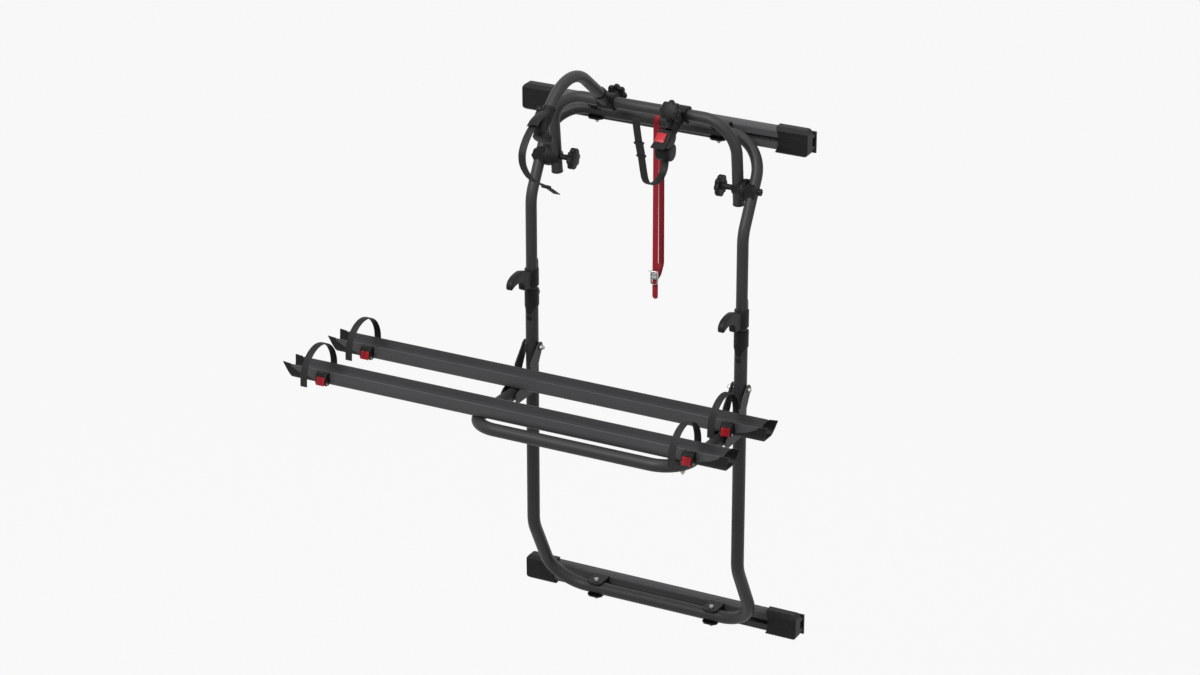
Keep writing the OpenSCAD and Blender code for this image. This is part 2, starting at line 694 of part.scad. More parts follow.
module buckles(y) color(plastic_black) on_channel(y)
  for (x = [strap_left, strap_right]) {
    difference() {
      side_on(x, buckle_w) polygon(buckle_table);
      side_on(x, buckle_w + over) solid_section(0, over * 4);
      side_on(x, lever_w + run * 2) polygon(pocket_table);
    }
    side_on(x, buckle_w + over) translate(lever_pin) circle(lever_pin_r);
  }

module buckle_lever(x, y) color(lever_red) on_channel(y)
  difference() {
    union() {
      side_on(x, lever_w) polygon(lever_table);
      side_on(x, lever_w) translate(lever_pin) circle(lever_eye_r);
    }
    side_on(x, lever_w + over) translate(lever_pin) circle(lever_pin_r + touch);
  }

module rear_buckles() buckles(rear_y);
module front_buckles() buckles(fore_y);
module rear_left_lever() buckle_lever(strap_left, rear_y);
module rear_right_lever() buckle_lever(strap_right, rear_y);
module front_left_lever() buckle_lever(strap_left, fore_y);
module front_right_lever() buckle_lever(strap_right, fore_y);

// Holder bar that hangs on the two clamp hinges
leg_lean = (bar_y - hinge_y) / (bar_z - hinge_z);
leg_end_y = hinge_y - (hinge_z - leg_end_z) * leg_lean;
bar_path = [[bar_x, -leg_end_y, leg_end_z], [bar_x, -bar_y, bar_z], [-bar_x, -bar_y, bar_z],
  [-bar_x, -leg_end_y, leg_end_z]];
hinge_bolt_r = 4;

module holder_bar() color(tube_grey)
  difference() {
    bent_tube(bar_path, [0, bar_bend_r, bar_bend_r, 0], bar_r);
    for (s = [-1, 1])
      rod([s * (bar_x - bar_r - over), -hinge_y, hinge_z], [s * (bar_x + bar_r + over), -hinge_y, hinge_z], hinge_bolt_r + touch);
  }

plug_t = 3;
plug_rim = 0.6;
plug_in = 14;

module leg_plugs() color(plastic_black) for (s = [-1, 1]) {
  foot = [s * bar_x, -leg_end_y, leg_end_z];
  u = unit([0, leg_end_y - bar_y, bar_z - leg_end_z]);
  rod(foot - u * plug_t, foot, bar_r + plug_rim);
  rod(foot - u * over, foot + u * plug_in, bar_r - tube_wall - fit);
}

seam_x = 276.8;
seam_gap = 0.3;
tooth_d = 2.2;
tooth_half = 1.6;
disc_t = 5;
cone_in = 243;
cone_r = 15;
cone_mid = 262;
cone_mid_r = 24;

// Ring of radial notches that makes the teeth round a hinge disc, about the x axis at x
module notches(x)
  translate([x, -hinge_y, hinge_z]) for (i = [0:teeth - 1]) rotate([i * 360 / teeth, 0, 0])
    translate([0, disc_r / 2, 0]) rotate([-90, 0, 0]) linear_extrude(disc_r)
      polygon([[-tooth_d / 2, 0], [0, tooth_half], [tooth_d / 2, 0], [0, -tooth_half]]);

module inner_saddle(s) color(plastic_black) mirror([s < 0 ? 1 : 0, 0, 0])
  difference() {
    union() {
      place([cone_in, -hinge_y, hinge_z], UP, [0, 1, 0] * -1, X) {
        cylinder(h = cone_mid - cone_in, r1 = cone_r, r2 = cone_mid_r);
        translate([0, 0, cone_mid - cone_in]) cylinder(h = seam_x - disc_t - cone_mid, r1 = cone_mid_r, r2 = disc_r);
        translate([0, 0, seam_x - disc_t - cone_in]) cylinder(h = disc_t, r = disc_r);
      }
    }
    rod([bar_x, -leg_end_y, leg_end_z], [bar_x, -bar_y, bar_z], bar_r);
    rod([cone_in - over, -hinge_y, hinge_z], [seam_x + over, -hinge_y, hinge_z], hinge_bolt_r + touch);
    notches(seam_x);
  }

hex_r = 24;
hex_x = 291;
hex_reach = 25;
hex_back = 4;
nut_cap_r = 9;
nut_cap_x = 319;

module outer_saddle(s) color(plastic_black) mirror([s < 0 ? 1 : 0, 0, 0])
  difference() {
    union() {
      rod([seam_x + seam_gap, -hinge_y, hinge_z], [seam_x + seam_gap + disc_t, -hinge_y, hinge_z], disc_r);
      translate([0, 0, hinge_z]) front_on(hinge_y - hex_back, hinge_y + hex_reach)
        intersection() {
          translate([hex_x, 0]) polygon([for (i = [0:5]) [hex_r * cos(i * 60), hex_r * sin(i * 60)]]);
          translate([seam_x + seam_gap, -hex_r]) square(hex_r * 2);
        }
      rod([leg_x, -hinge_y, hinge_z], [nut_cap_x, -hinge_y, hinge_z], nut_cap_r);
    }
    rod([leg_x, -leg_y, up_kink_z], [leg_x, -up_bar_y, up_bar_z], up_r);
    rod([seam_x, -hinge_y, hinge_z], [nut_cap_x + over, -hinge_y, hinge_z], hinge_bolt_r + touch);
    notches(seam_x + seam_gap);
  }

module inner_saddle_left() inner_saddle(-1);
module inner_saddle_right() inner_saddle(1);
module outer_saddle_left() outer_saddle(-1);
module outer_saddle_right() outer_saddle(1);

// Winged knob along z: head of radius r and height h with scooped flanks, on a stem
wings = 5;
scoop_r_share = 0.36;
scoop_at_share = 1.12;
rim_share = 0.9;

module knob(r, h, stem_r, stem_l) {
  cylinder(h = stem_l + over, r = stem_r);
  difference() {
    translate([0, 0, stem_l]) union() {
      cylinder(h = h * 0.4, r1 = r * rim_share * 0.7, r2 = r);
      translate([0, 0, h * 0.4]) cylinder(h = h * 0.35, r = r);
      translate([0, 0, h * 0.75]) cylinder(h = h * 0.25, r1 = r, r2 = r * rim_share);
    }
    for (i = [0:wings - 1]) rotate([0, 0, i * 360 / wings]) translate([r * scoop_at_share, 0, stem_l - over])
      cylinder(h = h + over * 2, r = r * scoop_r_share);
  }
}

hinge_knob_h = 17;
hinge_stem_r = 8;
hinge_stem_l = 24;
hinge_stem_gap = 0.3;

module hinge_knob(s) color(plastic_black) mirror([s < 0 ? 1 : 0, 0, 0]) {
  place([bar_x - bar_r - hinge_stem_gap, -hinge_y, hinge_z], UP, [0, 1, 0], -X)
    knob(knob_r, hinge_knob_h, hinge_stem_r, hinge_stem_l);
  rod([bar_x - bar_r - hinge_stem_gap - over, -hinge_y, hinge_z], [nut_cap_x + thread_end / 2, -hinge_y, hinge_z], hinge_bolt_r);
}

module hinge_knob_left() hinge_knob(-1);
module hinge_knob_right() hinge_knob(1);

// Bike arms. Points are [reach, height]; at() puts one into the model at position x
function at(x, p) = [x, -p.x, p.y];
bar_mid = [bar_y, bar_z];
long_start = 24;
long_tan = 0.7717; // slope of the long arm where it leaves the bar
long_u = unit([1, long_tan]);
long_end = [long_end_y, long_end_z];
long_d = unit([1, -1]);
// Corner where the rising and the falling straight would meet
long_top_x = (long_end.x + long_end.y - bar_mid.y + long_tan * bar_mid.x) / (1 + long_tan);
long_top = [long_top_x, long_end.x + long_end.y - long_top_x];
long_tube_short = 22;
long_path = [at(long_x, bar_mid + long_u * long_start), at(long_x, long_top), at(long_x, long_end - long_d * long_tube_short)];

module long_arm() color(tube_grey) bent_tube(long_path, [0, long_bend_r, 0], bar_r);

clamp_r = 22;
clamp_half_w = 21;
socket_r = 17.5;
socket_l = 58;
knob_boss_r = 10;
long_boss_l = 26;
short_boss_l = 38;
arm_split = 2;

// Clamp round the holder bar with a socket of length l toward u and a boss of length b toward v
module arm_clamp(x, u, v, l, b) {
  c = at(x, bar_mid);
  difference() {
    union() {
      rod(c - X * clamp_half_w, c + X * clamp_half_w, clamp_r);
      rod(c, at(x, bar_mid + u * l), socket_r);
      rod(c, at(x, bar_mid + v * b), knob_boss_r);
    }
    rod(c - X * (clamp_half_w + over), c + X * (clamp_half_w + over), bar_r + run);
    rod(at(x, bar_mid + u * long_start), at(x, bar_mid + u * (l + over)), bar_r);
    rod(at(x, bar_mid + v * (bar_r + over * 2)), at(x, bar_mid + v * (b + over)), hinge_bolt_r + touch);
    rod(at(x, bar_mid + v * b), at(x, bar_mid + v * (b + arm_knob_h)), arm_stem_r + run * 2);
  }
}

long_v = unit([-1, 0.05]);
short_u = unit([1, -0.48]);
short_v = unit([1, 0.42]);
short_socket_l = 46;

module long_arm_clamp() color(plastic_black) arm_clamp(long_x, long_u, long_v, socket_l, long_boss_l);
module short_arm_clamp() color(plastic_black) arm_clamp(short_x, short_u, short_v, short_socket_l, short_boss_l);

arm_knob_r = 24;
arm_knob_h = 14;
long_stem_l = 17;
short_stem_l = 22;
arm_stem_r = 7;
bolt_depth = 6;

module arm_knob(x, v, b, l) {
  c = at(x, bar_mid + v * (b + run));
  w = [0, -v.x, v.y];
  place(c, X, cross(w, X), w) knob(arm_knob_r, arm_knob_h, arm_stem_r, l);
  rod(c - w * bolt_depth, c + w * over, hinge_bolt_r);
}

module long_arm_knob() color(plastic_black) arm_knob(long_x, long_v, long_boss_l, long_stem_l);
module short_arm_knob() color(plastic_black) arm_knob(short_x, short_v, short_boss_l, short_stem_l);

module short_arm() color(tube_grey)
  difference() {
    rod(at(short_x, bar_mid + short_u * long_start), at(short_x, bar_mid + short_u * short_len), bar_r);
    rod(at(short_x, bar_mid + short_u * (long_start - over)), at(short_x, bar_mid + short_u * (short_len + over)), bar_r - tube_wall);
  }

// Holders: drawn along z from the arm's end point, with x across the rack and y up and out
module on_holder(x, p, d)
  place(at(x, p), X, cross([0, -d.x, d.y], X), [0, -d.x, d.y]) children();

holder_r = 17.5;
holder_back = 48;
holder_neck = 10;
barrel_r = 12;
base_z = 30;
base_h = 17;
base_w = 54;
base_d = 24;
base_left = 31;
base_corner = 5;

module rounded_box(x, y, z, r)
  linear_extrude(z) {
    translate([-x / 2 + r, -y / 2]) square([x - r * 2, y]);
    translate([-x / 2, -y / 2 + r]) square([x, y - r * 2]);
    for (i = [-1, 1], j = [-1, 1]) translate([i * (x / 2 - r), j * (y / 2 - r)]) circle(r);
  }

flap_pin = [-22.5, -36]; // across and along the holder
flap_pin_r = 2;
flap_eye_r = 4.4;
flap_half = 12;
flap_lug = 3;
flap_t = 3;
flap_bend = 14;
flap_mid = [-37, -28];
flap_tip = [-52, -10];

module long_holder() color(plastic_black) on_holder(long_x, long_end, long_d)
  difference() {
    union() {
      translate([0, 0, -holder_back]) cylinder(h = holder_back - holder_neck, r = holder_r);
      translate([0, 0, -holder_neck]) cylinder(h = base_z + holder_neck, r = barrel_r);
      translate([base_w / 2 - base_left, 0, base_z]) rounded_box(base_w, base_d, base_h, base_corner);
      for (t = [-1, 1]) translate([flap_pin.x - flap_eye_r, t * (flap_half + run + flap_lug / 2) - flap_lug / 2, flap_pin.y - flap_eye_r])
        cube([-flap_pin.x, flap_lug, flap_eye_r * 2]);
      rod([flap_pin.x, -flap_half - flap_lug, flap_pin.y], [flap_pin.x, flap_half + flap_lug, flap_pin.y], flap_pin_r);
    }
    translate([0, 0, -holder_back - over]) cylinder(h = holder_back + over - long_tube_short + touch, r = bar_r + touch);
  }

module long_holder_flap() color(plastic_black) on_holder(long_x, long_end, long_d)
  difference() {
    union() {
      rod([flap_pin.x, -flap_half, flap_pin.y], [flap_pin.x, flap_half, flap_pin.y], flap_eye_r);
      strap([[flap_pin.x - flap_pin_r, 0, flap_pin.y + flap_pin_r / 2], [flap_mid.x, 0, flap_mid.y], [flap_tip.x, 0, flap_tip.y]],
        [0, flap_bend, 0], flap_half * 2, flap_t, [0, 1, 0]);
    }
    rod([flap_pin.x, -flap_half - over, flap_pin.y], [flap_pin.x, flap_half + over, flap_pin.y], flap_pin_r + touch);
  }

// Frame straps hang in a plane across the rack; the tables give x and height
frame_strap_w = 20;
long_strap_table = [[-102, 797.5], [-141, 792], [-166, 676], [-60, 620]];
long_strap_bends = [0, 22, 50, 0];
long_keeper = 7;
long_keeper_x = -92;
keeper_wall = 2.5;
short_strap_table = [[106, 664], [98, 592], [70, 586], [36, 746]];
short_strap_bends = [0, 16, 12, 0];
short_slider_z = 690;
short_strap_y = 266;

function strap_points(t, y) = [for (p = t) [p.x, -y, p.y]];

// A small sleeve round a strap, halfway along its line from a to b by the share k
module keeper(a, b, k, l) {
  u = unit(b - a);
  n = [0, 1, 0];
  place(a + (b - a) * k, cross(n, u), n, u) linear_extrude(l)
    square([strap_t + keeper_wall * 2, frame_strap_w + keeper_wall * 2], center = true);
}

long_keeper_share = 0.72;
short_slider_share = 0.62;
slider_l = 12;

module long_frame_strap() color(plastic_black) {
  p = strap_points(long_strap_table, long_end_y);
  difference() {
    strap(p, long_strap_bends, frame_strap_w, strap_t, [0, 1, 0]);
    on_holder(long_x, long_end, long_d) {
      translate([0, 0, -holder_neck]) cylinder(h = base_z + holder_neck, r = barrel_r);
      translate([0, 0, -holder_back]) cylinder(h = holder_back - holder_neck + fit, r = holder_r + fit);
    }
  }
  keeper(p[2], p[3], long_keeper_share, long_keeper);
}

short_body_w = 44;
short_body_table = [[222, 700], [226, 722], [242, 737], [262, 741], [282, 733], [297, 708], [297, 676], [288, 662],
  [252, 660], [236, 670]];
short_pocket_table = [[254, 726], [276, 716], [288, 698], [320, 698], [320, 760], [254, 760]];
short_lever_table = [[262, 728], [278, 720], [290, 701], [298, 704.5], [285, 730], [266, 738]];
short_lever_w = 26;
short_lever_x = -4;
short_pin = [264, 732];
neck_gap = 1;
neck_l = 24;

module short_holder() color(plastic_black)
  difference() {
    union() {
      side_on(short_x, short_body_w) polygon(short_body_table);
      rod(at(short_x, bar_mid + short_u * (short_socket_l + neck_gap)),
        at(short_x, bar_mid + short_u * (short_socket_l + neck_gap + neck_l)), holder_r);
      side_on(short_x, short_body_w + over) translate(short_pin) circle(lever_pin_r);
    }
    rod(at(short_x, bar_mid), at(short_x, bar_mid + short_u * (short_len + fit)), bar_r + touch);
    difference() {
      side_on(short_x + short_lever_x, short_lever_w + run * 2) polygon(short_pocket_table);
      side_on(short_x, short_body_w) translate(short_pin) circle(lever_pin_r);
    }
  }

module short_holder_lever() color(lever_red)
  side_on(short_x + short_lever_x, short_lever_w) difference() {
    union() {
      polygon(short_lever_table);
      translate(short_pin) circle(lever_eye_r);
    }
    translate(short_pin) circle(lever_pin_r + touch);
  }

module short_frame_strap() color(plastic_black) {
  p = strap_points(short_strap_table, short_strap_y);
  difference() {
    strap(p, short_strap_bends, frame_strap_w, strap_t, [0, 1, 0]);
    side_on(short_x, short_body_w) polygon(short_body_table);
  }
  keeper(p[2], p[3], short_slider_share, slider_l);
}

// Tie strap looped over the upper cross bar, its two strands meeting in a cam buckle
tie_t = 2;
tie_gap = 0.1;
tie_loop = up_r + tie_gap + tie_t / 2;
tie_join_z = 286;
tie_part_z = 311;
tie_bend = 12;
tie_stop_z = 268;

module tie_strap() color(webbing_red) {
  front = -up_bar_y - tie_loop;
  near = front + tie_t + tie_gap;
  back = -up_bar_y + tie_loop;
  strap([[tie_x, front, tie_end_z], [tie_x, front, up_bar_z + tie_loop], [tie_x, back, up_bar_z + tie_loop],
    [tie_x, back, tie_part_z], [tie_x, near, tie_join_z], [tie_x, near, tie_stop_z]],
    [0, tie_loop, tie_loop, tie_bend, tie_bend, 0], tie_w, tie_t, X);
}

tie_cheek = 3;
tie_frame_h = 34;
tie_frame_back = 6.5; // how far the frame reaches behind the front strand
tie_frame_out = 9.5;
tie_slot_back = 3.5;
tie_slot_out = 1.4;
tie_pin_out = 5.6;
tie_pin_up = 5;
tie_eye_r = 3.8;
tie_lever_table = [[2.6, 5], [3.4, -19], [6, -21], [9.2, 2]];

module tie_frame(o0, o1, w, h)
  side_on(tie_x, w) translate([up_bar_y + tie_loop + o0, tie_buckle_z - h / 2]) square([o1 - o0, h]);

module tie_buckle() color(bolt_grey) {
  difference() {
    tie_frame(-tie_frame_back, tie_frame_out, tie_w + fit * 2 + tie_cheek * 2, tie_frame_h);
    tie_frame(-tie_slot_back, tie_frame_out + over, tie_w + fit * 2, tie_frame_h + over);
  }
  side_on(tie_x, tie_w + tie_cheek * 2) translate([up_bar_y + tie_loop + tie_pin_out, tie_buckle_z + tie_pin_up]) circle(lever_pin_r);
}

module tie_lever() color(bolt_grey)
  side_on(tie_x, tie_w) translate([up_bar_y + tie_loop, tie_buckle_z]) difference() {
    union() {
      polygon(tie_lever_table);
      translate([tie_pin_out, tie_pin_up]) circle(tie_eye_r);
    }
    translate([tie_pin_out, tie_pin_up]) circle(lever_pin_r + touch);
  }

upper_wall_rail();
lower_wall_rail();
upper_rail_caps();
lower_rail_caps();
upper_wall_brackets();
lower_wall_brackets();
lower_frame_tube();
upper_frame_tube();
upper_bar_clamps();
lower_bar_clamps();
upper_clamp_bolts();
lower_clamp_bolts();
sleeve_left();
sleeve_right();
sleeve_buttons();
hook_left();
hook_right();
pivot_bolts();
pivot_bracket_left();
pivot_bracket_right();
platform_tube();
rear_channel();
front_channel();
rear_channel_tips();
front_channel_tips();
channel_bolts();
rear_left_strap();
rear_right_strap();
front_left_strap();
front_right_strap();
rear_buckles();
front_buckles();
rear_left_lever();
rear_right_lever();
front_left_lever();
front_right_lever();
holder_bar();
leg_plugs();
inner_saddle_left();
inner_saddle_right();
outer_saddle_left();
outer_saddle_right();
hinge_knob_left();
hinge_knob_right();
long_arm();
long_arm_clamp();
long_arm_knob();
long_holder();
long_holder_flap();
long_frame_strap();
short_arm();
short_arm_clamp();
short_arm_knob();
short_holder();
short_holder_lever();
short_frame_strap();
tie_strap();
tie_buckle();
tie_lever();
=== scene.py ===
# %% [markdown]
# # A folding bike rack for a motorhome's rear wall
# The rack is two wall rails, a frame of round tube that slides in itself, a platform with two
# wheel channels that folds up, and a bar with two arms that hold the bikes. Its rigid shapes come
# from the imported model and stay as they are; this lesson gives them finishes, and makes the
# straps, knobs, hooks, holders, buckles and caps, whose curves are better drawn as surfaces
# than as solids.

# %% Load the fixed frame
import json
import math

import bpy
import numpy as np
from mathutils import Matrix, Vector


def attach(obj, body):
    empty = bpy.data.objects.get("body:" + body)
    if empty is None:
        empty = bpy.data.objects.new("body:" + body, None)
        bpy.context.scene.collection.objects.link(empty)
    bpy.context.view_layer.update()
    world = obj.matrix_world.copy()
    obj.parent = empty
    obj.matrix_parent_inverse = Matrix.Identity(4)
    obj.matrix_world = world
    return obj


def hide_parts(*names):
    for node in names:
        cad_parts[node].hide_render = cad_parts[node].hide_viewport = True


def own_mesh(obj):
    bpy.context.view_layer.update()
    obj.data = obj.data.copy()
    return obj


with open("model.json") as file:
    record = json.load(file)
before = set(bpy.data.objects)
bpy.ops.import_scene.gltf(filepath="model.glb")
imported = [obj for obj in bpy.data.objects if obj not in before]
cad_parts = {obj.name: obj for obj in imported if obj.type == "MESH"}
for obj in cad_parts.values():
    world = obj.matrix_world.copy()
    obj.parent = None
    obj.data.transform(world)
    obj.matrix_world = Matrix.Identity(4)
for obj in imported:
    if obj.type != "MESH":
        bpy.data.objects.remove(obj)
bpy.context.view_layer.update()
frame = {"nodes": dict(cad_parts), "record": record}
nodes = frame["nodes"]

# %% [markdown]
# ## The camera
# The photograph looks down at the rack from its left with a long lens. The lines of the rails, the
# wheel channels and the uprights meet far away in three directions, and these fix the angle and
# the lens. A camera can be aimed with a constraint, but a matrix written out is easier to check.

# %% Camera at the photograph's angle
azimuth, elevation = math.radians(27.32), math.radians(23.29)
level = math.cos(elevation)
forward = Vector((-math.sin(azimuth) * level, math.cos(azimuth) * level, -math.sin(elevation)))
right = forward.cross(Vector((0, 0, 1))).normalized()
up = right.cross(forward)
camera_data = bpy.data.cameras.new("camera")
camera_data.lens = 106.1
camera_data.sensor_width = 36
camera_data.sensor_fit = "HORIZONTAL"
camera_data.clip_end = 200
camera = bpy.data.objects.new("camera", camera_data)
turn = Matrix((right, up, -forward)).transposed().to_4x4()
camera.matrix_world = Matrix.Translation((3.720, -7.597, 3.6995)) @ turn
bpy.context.scene.collection.objects.link(camera)
bpy.context.scene.camera = camera
bpy.context.scene.view_settings.view_transform = "Standard"
print("camera at", [round(c, 3) for c in camera.matrix_world.translation])

# %% [markdown]
# ## Studio: floor, white surroundings and lamps
# A product picture on white needs a pale floor that still takes a shadow. The floor and the world
# show plain white to the camera, and only a soft grey lights the rack, so the dark tubes keep
# their shading. Large area lamps give the long soft highlights that a satin coat shows.

# %% White to the eye, soft grey as light
LOW = -1.75  # the floor, a metre under the lower rail


def white_for_camera(tree, lit, share):
    """Mixes a shader with plain white of strength 1 by share, for camera, glossy and glass rays only."""
    n, l = tree.nodes, tree.links
    path = n.new("ShaderNodeLightPath")
    seen = path.outputs["Is Camera Ray"]
    for name in ("Is Glossy Ray", "Is Transmission Ray"):
        most = n.new("ShaderNodeMath")
        most.operation = "MAXIMUM"
        l.new(seen, most.inputs[0])
        l.new(path.outputs[name], most.inputs[1])
        seen = most.outputs[0]
    part = n.new("ShaderNodeMath")
    part.operation = "MULTIPLY"
    part.inputs[1].default_value = share
    l.new(seen, part.inputs[0])
    white = n.new("ShaderNodeBackground" if lit.bl_idname == "ShaderNodeBackground" else "ShaderNodeEmission")
    white.inputs["Color"].default_value = (1, 1, 1, 1)
    white.inputs["Strength"].default_value = 1
    mix = n.new("ShaderNodeMixShader")
    l.new(part.outputs[0], mix.inputs[0])
    l.new(lit.outputs[0], mix.inputs[1])
    l.new(white.outputs[0], mix.inputs[2])
    return mix.outputs[0]


world = bpy.data.worlds.new("studio")
bpy.context.scene.world = world
world.use_nodes = True
tree = world.node_tree
tree.nodes.clear()
sky = tree.nodes.new("ShaderNodeBackground")
sky.inputs["Color"].default_value = (1, 1, 1, 1)
sky.inputs["Strength"].default_value = 0.12
out = tree.nodes.new("ShaderNodeOutputWorld")
tree.links.new(white_for_camera(tree, sky, 1.0), out.inputs["Surface"])

floor_mat = bpy.data.materials.new("pale_floor")
floor_mat.use_nodes = True
tree = floor_mat.node_tree
tree.nodes.clear()
paint = tree.nodes.new("ShaderNodeBsdfDiffuse")
paint.inputs["Color"].default_value = (0.35, 0.35, 0.35, 1)
out = tree.nodes.new("ShaderNodeOutputMaterial")
tree.links.new(white_for_camera(tree, paint, 0.93), out.inputs["Surface"])
floor_mesh = bpy.data.meshes.new("floor")
floor_mesh.from_pydata([(-60, -60, LOW), (60, -60, LOW), (60, 60, LOW), (-60, 60, LOW)], [], [(0, 1, 2, 3)])
floor = bpy.data.objects.new("floor", floor_mesh)
floor.data.materials.append(floor_mat)
bpy.context.scene.collection.objects.link(floor)


def lamp(name, place, aim, size, watts):
    """A square area lamp at place, turned to aim."""
    data = bpy.data.lights.new(name, "AREA")
    data.size, data.energy = size, watts
    o = bpy.data.objects.new(name, data)
    o.location = place
    o.rotation_euler = (Vector(aim) - Vector(place)).to_track_quat("-Z", "Y").to_euler()
    bpy.context.scene.collection.objects.link(o)
    return o


lamp("key", (-1.2, -4.6, 4.6), (0, -0.2, 0), 2.6, 290)
lamp("side", (5.2, -2.6, 1.6), (0, -0.2, 0), 2.4, 40)
lamp("top", (0.4, -0.4, 4.6), (0, -0.2, 0), 2.8, 50)
print("lamps", len(bpy.data.lights))

# %% [markdown]
# ## Effects that several finishes share
# A coated tube, a moulded cap and a strap all need a fine grain, a slow drift of tone, and edges
# that are rounded a little and painted a shade paler, as wear and as a painted highlight. Each of
# these is one node group with named sockets, so every finish sets its own scale and strength.


# %% Node groups for grain, drift and edges
def new_group(name, inputs, outputs):
    """An empty shader group with float or colour sockets, and its input and output nodes."""
    g = bpy.data.node_groups.new(name, "ShaderNodeTree")
    for label, kind, value in inputs:
        s = g.interface.new_socket(name=label, in_out="INPUT", socket_type=kind)
        s.default_value = value
    for label, kind in outputs:
        g.interface.new_socket(name=label, in_out="OUTPUT", socket_type=kind)
    return g, g.nodes.new("NodeGroupInput"), g.nodes.new("NodeGroupOutput")


def maths(g, operation, a, b):
    """A Math node in tree g; a and b are sockets or plain numbers."""
    n = g.nodes.new("ShaderNodeMath")
    n.operation = operation
    for i, v in enumerate((a, b)):
        if isinstance(v, (int, float)):
            n.inputs[i].default_value = v
        else:
            g.links.new(v, n.inputs[i])
    return n.outputs[0]


def object_coords(g):
    """Object coordinates, in metres."""
    return g.nodes.new("ShaderNodeTexCoord").outputs["Object"]


def noise(g, coords, scale, detail, rough=0.5):
    """Noise from 0 to 1 at scale cells per metre."""
    n = g.nodes.new("ShaderNodeTexNoise")
    n.inputs["Detail"].default_value = detail
    n.inputs["Roughness"].default_value = rough
    g.links.new(coords, n.inputs["Vector"])
    if isinstance(scale, (int, float)):
        n.inputs["Scale"].default_value = scale
    else:
        g.links.new(scale, n.inputs["Scale"])
    return n.outputs["Fac"]


grain_group, gi, go = new_group("fine_grain", [("Scale", "NodeSocketFloat", 900.0)],
                                [("Height", "NodeSocketFloat")])
cell = noise(grain_group, object_coords(grain_group), gi.outputs["Scale"], 3.0, 0.6)
grain_group.links.new(cell, go.inputs["Height"])

drift_group, gi, go = new_group(
    "tone_drift",
    [("Colour", "NodeSocketColor", (0.1, 0.1, 0.1, 1)), ("Spread", "NodeSocketFloat", 0.15)],
    [("Colour", "NodeSocketColor")])
slow = noise(drift_group, object_coords(drift_group), 5.0, 4.0)
lift = maths(drift_group, "MULTIPLY", maths(drift_group, "SUBTRACT", slow, 0.5), gi.outputs["Spread"])
shift = drift_group.nodes.new("ShaderNodeHueSaturation")
value = maths(drift_group, "ADD", maths(drift_group, "MULTIPLY", lift, 2.0), 1.0)
drift_group.links.new(value, shift.inputs["Value"])
drift_group.links.new(gi.outputs["Colour"], shift.inputs["Color"])
drift_group.links.new(shift.outputs["Color"], go.inputs["Colour"])

# The edge mask paints the colour paler on rounded edges: partly wear, partly a painted highlight where light
# would catch them.
edge_group, gi, go = new_group("worn_and_highlit_edge", [("Width", "NodeSocketFloat", 0.001)],
                               [("Mask", "NodeSocketFloat"), ("Normal", "NodeSocketVector")])
bevel = edge_group.nodes.new("ShaderNodeBevel")
bevel.samples = 4
edge_group.links.new(gi.outputs["Width"], bevel.inputs["Radius"])
flat = edge_group.nodes.new("ShaderNodeNewGeometry")
dot = edge_group.nodes.new("ShaderNodeVectorMath")
dot.operation = "DOT_PRODUCT"
edge_group.links.new(bevel.outputs["Normal"], dot.inputs[0])
edge_group.links.new(flat.outputs["Normal"], dot.inputs[1])
bent = maths(edge_group, "MULTIPLY", maths(edge_group, "SUBTRACT", 1.0, dot.outputs["Value"]), 4.0)
edge_group.links.new(maths(edge_group, "MINIMUM", bent, 1.0), go.inputs["Mask"])
edge_group.links.new(bevel.outputs["Normal"], go.inputs["Normal"])
print("groups", [g.name for g in bpy.data.node_groups])

# %% [markdown]
# ## Finishes
# The tubes and rails wear a satin anthracite powder coat, the fittings are black moulded plastic,
# the levers a brighter red plastic. One function builds the common graph: drifted colour, paler
# edges, a grain that feeds a bump. What is uniform is set straight on the shader.


# %% One function for coated and moulded finishes
def place_group(tree, group, **values):
    """One use of a shared group in a material, with this finish's own values."""
    n = tree.nodes.new("ShaderNodeGroup")
    n.node_tree = group
    for k, v in values.items():
        n.inputs[k].default_value = v
    return n


def finish(name, colour, rough, spread=0.15, edge_width=0.0008, edge_wear_and_highlight=0.35, grain=900.0, depth=0.02,
           metallic=0.0, coat=0.0, gloss=0.5):
    """A Principled finish: drifted colour, paler on edges; roughness and bump follow the grain."""
    m = bpy.data.materials.new(name)
    m.use_nodes = True
    t = m.node_tree
    shader = t.nodes["Principled BSDF"]
    drift = place_group(t, drift_group, Colour=(*colour, 1), Spread=spread)
    edge = place_group(t, edge_group, Width=edge_width)
    cells = place_group(t, grain_group, Scale=grain)
    # Colour painted paler along edges by the edge mask: wear, and a painted highlight on the rounded edges.
    pale = t.nodes.new("ShaderNodeMix")
    pale.data_type, pale.blend_type = "RGBA", "MIX"
    pale.inputs["B"].default_value = (*[min(1, c * 1.9 + 0.02) for c in colour], 1)
    t.links.new(maths(t, "MULTIPLY", edge.outputs["Mask"], edge_wear_and_highlight), pale.inputs["Factor"])
    t.links.new(drift.outputs["Colour"], pale.inputs["A"])
    t.links.new(pale.outputs["Result"], shader.inputs["Base Color"])
    r = maths(t, "ADD", maths(t, "MULTIPLY", maths(t, "SUBTRACT", cells.outputs["Height"], 0.5), 0.16), rough)
    t.links.new(r, shader.inputs["Roughness"])
    bump = t.nodes.new("ShaderNodeBump")
    bump.inputs["Strength"].default_value = 0.35
    bump.inputs["Distance"].default_value = depth * 0.01
    t.links.new(cells.outputs["Height"], bump.inputs["Height"])
    t.links.new(edge.outputs["Normal"], bump.inputs["Normal"])
    t.links.new(bump.outputs["Normal"], shader.inputs["Normal"])
    shader.inputs["Metallic"].default_value = metallic
    shader.inputs["Coat Weight"].default_value = coat
    shader.inputs["Specular IOR Level"].default_value = gloss
    return m


